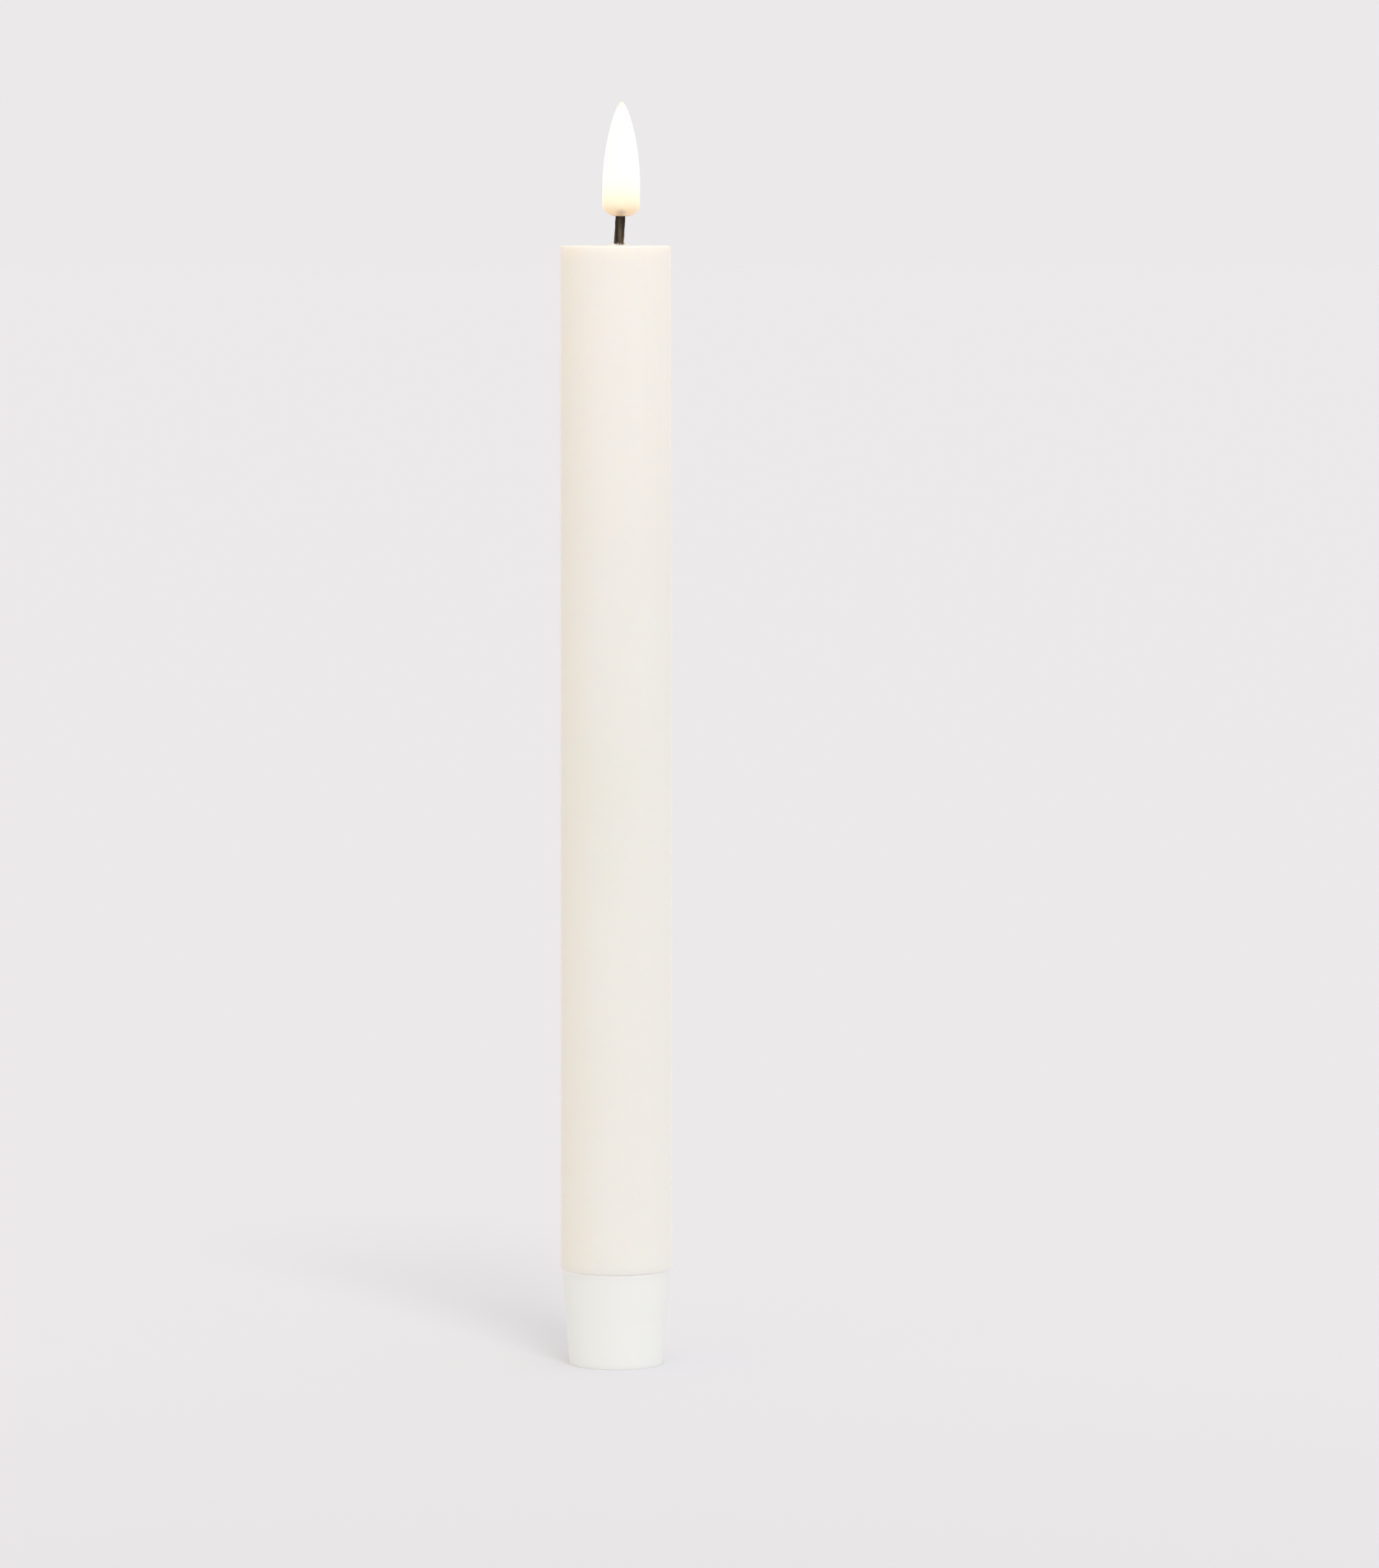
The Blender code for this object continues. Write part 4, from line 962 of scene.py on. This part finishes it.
def chip_finish():
    """Moulded chip epoxy, near black, matt and finely grained with a glint of filler, and tinned legs."""
    low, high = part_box("controller_chip")
    epoxy = Surface("chip_epoxy_black", specular_ior_level=0.4)
    grain = epoxy.noise(4200, 3)
    filler = epoxy.cells(1800)
    tone = epoxy.ramp(grain, [(0.3, (0.014, 0.014, 0.015)), (0.7, (0.030, 0.030, 0.032))])
    tone = epoxy.mix(epoxy.span(filler, 0.03, 0.09, 0.5, 0.0), tone, (0.12, 0.12, 0.12))
    middle, reach = (low.z + high.z) / 2, (high.z - low.z) / 2
    off_centre = epoxy.maths("ABSOLUTE", epoxy.maths("SUBTRACT", epoxy.axis("Z"), middle))
    leg = epoxy.span(off_centre, reach, reach + 0.02 * MM)
    epoxy.colour(epoxy.mix(leg, tone, (0.72, 0.71, 0.68)))
    epoxy.join(leg, epoxy.sockets["metallic"])
    epoxy.roughness(grain, 0.45, 0.65)
    epoxy.bump((grain, 0.01 * MM))
    return epoxy.material


def end_capped_finish(node, axis, dark, light):
    """A surface-mounted resistor or capacitor: its body between two tinned ends."""
    low, high = (corner["XYZ".index(axis)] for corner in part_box(node))
    body = Surface(f"{node}_body", specular_ior_level=0.5)
    middle, reach = (low + high) / 2, (high - low) / 2
    off_centre = body.maths("ABSOLUTE", body.maths("SUBTRACT", body.axis(axis), middle))
    cap = body.span(off_centre, reach * 0.68, reach * 0.72)
    ceramic = body.ramp(body.noise(1500, 3), [(0.3, dark), (0.7, light)])
    body.colour(body.mix(cap, ceramic, (0.74, 0.73, 0.70)))
    body.join(cap, body.sockets["metallic"])
    body.roughness(body.noise(1200, 3), 0.25, 0.42)
    body.bump((body.noise(2600, 3), 0.008 * MM), (cap, 0.03 * MM))
    return body.material


def led_finish():
    """Clear warm epoxy over the lit chip, brightest round the die."""
    low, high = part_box("led")
    epoxy = Surface("lit_led_epoxy", roughness=0.12, emission_strength=3.0)
    level = epoxy.span(epoxy.axis("Z"), low.z, high.z)
    glow = epoxy.ramp(level, [(0.0, (0.9, 0.55, 0.2)), (0.3, (1.0, 0.86, 0.55)), (0.7, (1.0, 0.93, 0.75))])
    epoxy.join(glow, epoxy.sockets["emission_color"])
    epoxy.colour(epoxy.ramp(epoxy.noise(900, 2), [(0.3, (0.85, 0.72, 0.45)), (0.7, (0.95, 0.85, 0.60))]))
    epoxy.bump((epoxy.noise(1500, 2), 0.004 * MM))
    return epoxy.material


# The studio.


def make_floor():
    """A wide pale floor, with painted shade that dims it a little just in front of the candle."""
    bm = bmesh.new()
    bmesh.ops.create_circle(bm, cap_ends=True, segments=96, radius=FLOOR_RADIUS)
    floor = add_piece("studio_floor", bm)
    paper = Surface("pale_floor_paper", roughness=0.9, specular_ior_level=0.1)
    fibre = paper.noise(900, 3)
    tone = paper.ramp(fibre, [(0.3, (0.770, 0.772, 0.819)), (0.7, (0.778, 0.780, 0.827))])
    # Painted shade: the floor is a little darker in a wide patch in front of the candle.
    painted_floor_shade = paper.near((0.0, -0.42, 0.0), 0.14, 0.43)
    paper.colour(paper.mix(painted_floor_shade, tone, (0.742, 0.744, 0.791)))
    floor.data.materials.append(paper.material)


def make_studio():
    """An even pale world, warmer from the left, with a plain grey backdrop where the camera sees it."""
    world = bpy.data.worlds.new("studio")
    world.use_nodes = True
    tree = world.node_tree
    direction = tree.nodes.new("ShaderNodeTexCoord").outputs["Generated"]
    across = tree.nodes.new("ShaderNodeSeparateXYZ")
    tree.links.new(direction, across.inputs[0])
    side = tree.nodes.new("ShaderNodeMapRange")
    side.inputs["From Min"].default_value = -1.0
    tree.links.new(across.outputs["X"], side.inputs["Value"])
    tones = tree.nodes.new("ShaderNodeValToRGB")
    for element, colour in zip(tones.color_ramp.elements, (LIGHT_LEFT, LIGHT_RIGHT)):
        element.color = (*colour, 1.0)
    tree.links.new(side.outputs[0], tones.inputs[0])
    backdrop = tree.nodes.new("ShaderNodeMix")
    backdrop.data_type = "RGBA"
    sockets = {s.identifier: s for s in [*backdrop.inputs, *backdrop.outputs]}
    seen = tree.nodes.new("ShaderNodeLightPath").outputs["Is Camera Ray"]
    tree.links.new(seen, sockets["Factor_Float"])
    tree.links.new(tones.outputs[0], sockets["A_Color"])
    sockets["B_Color"].default_value = (*STUDIO_GREY, 1.0)
    tree.links.new(sockets["Result_Color"], tree.nodes["Background"].inputs["Color"])
    bpy.context.scene.world = world


def make_key_light():
    """A large soft key light from the front right."""
    key = bpy.data.lights.new("key_light", "SUN")
    key.energy = KEY_ENERGY
    key.angle = KEY_SPREAD
    key.color = KEY_COLOUR
    lamp = bpy.data.objects.new("key_light", key)
    lamp.rotation_euler = Vector(TOWARDS_KEY).to_track_quat("Z", "Y").to_euler()
    bpy.context.scene.collection.objects.link(lamp)


def make_camera():
    """A long lens at the photograph's height, tilted slightly down."""
    camera = bpy.data.cameras.new("camera")
    camera.lens = CAMERA_LENS
    camera.clip_start = 0.05
    camera.clip_end = 2 * FLOOR_RADIUS
    holder = bpy.data.objects.new("camera", camera)
    holder.location = CAMERA_PLACE
    holder.rotation_euler = (math.pi / 2 - CAMERA_TILT, 0.0, 0.0)
    bpy.context.scene.collection.objects.link(holder)
    bpy.context.scene.camera = holder
    bpy.context.scene.view_settings.view_transform = "Standard"


# Putting it together.


def stand_in(piece, node, body, finish):
    """The piece takes a CAD node's place on its body, with this material."""
    piece.data.materials.clear()
    piece.data.materials.append(finish)
    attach(piece, body)
    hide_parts(node)


def dress_cad_nodes(steel):
    """A procedural material on each CAD node that keeps its shape."""
    finishes = {
        "natural_plastic": moulded_plastic("natural_plastic_grained", (0.78, 0.77, 0.72), 0.42, 0.56),
        "circuit_board": circuit_board_finish(),
        "chip_epoxy": end_capped_finish("board_resistor", "Z", (0.012, 0.012, 0.013), (0.028, 0.028, 0.030)),
        "ceramic_chip": end_capped_finish("board_capacitor", "X", (0.34, 0.22, 0.12), (0.46, 0.32, 0.19)),
        "tinned_steel": steel,
        "nickel_plate": metal("nickel_plate_rolled", (0.72, 0.70, 0.64), (0.55, 0.52, 0.46), 0.20, 0.34),
        "brass": metal("stamped_brass", (0.80, 0.61, 0.29), (0.56, 0.40, 0.18), 0.22, 0.40, (1.0, 0.05, 1.0)),
        "red_insulation": insulation("red_wire_cover", (0.42, 0.018, 0.012), (0.62, 0.035, 0.022)),
        "black_insulation": insulation("black_wire_cover", (0.012, 0.012, 0.013), (0.035, 0.035, 0.037)),
        "black_plastic": moulded_plastic("black_switch_plastic", (0.030, 0.030, 0.032), 0.34, 0.50, 0.008),
        "led_epoxy": led_finish(),
    }
    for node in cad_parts.values():
        if node.hide_render:
            continue
        slot = node.data.materials[0].name
        node.material_slots[0].material = finishes[slot]


def build():
    """The studio, the pieces that stand in for CAD nodes, and finishes for the other nodes."""
    make_camera()
    make_studio()
    make_key_light()
    make_floor()
    stand_in(make_wax_coat(), "wax_shell", "candle", wax_finish())
    stand_in(make_flame_bulb(), "flame_lens", "candle", flame_finish())
    stand_in(make_wick_stem(), "wick_sleeve", "candle", wick_finish())
    neck_finish = moulded_plastic("neck_plastic", (0.80, 0.79, 0.75), 0.38, 0.50)
    stand_in(make_neck_tube(), "core_tube", "candle", neck_finish)
    stand_in(make_base_shell(), "base_cap", "base", base_finish())
    knob_finish = moulded_plastic("knob_plastic", (0.032, 0.032, 0.034), 0.32, 0.48, 0.006)
    stand_in(make_knob(), "switch_knob", "knob", knob_finish)
    steel = metal("tinned_steel_drawn", (0.74, 0.74, 0.72), (0.52, 0.51, 0.49), 0.22, 0.38)
    for node in ("base_screw_front", "base_screw_rear"):
        stand_in(make_tapping_screw(node), node, "base", steel)
    stand_in(make_coil_spring(), "tail_spring", "spring_and_seat", steel)
    for node in ("battery_cell_lower", "battery_cell_upper"):
        stand_in(make_dry_cell(node), node, "candle", cell_finish(node))
    stand_in(make_leaded_chip(), "controller_chip", "candle", chip_finish())
    dress_cad_nodes(steel)


build()
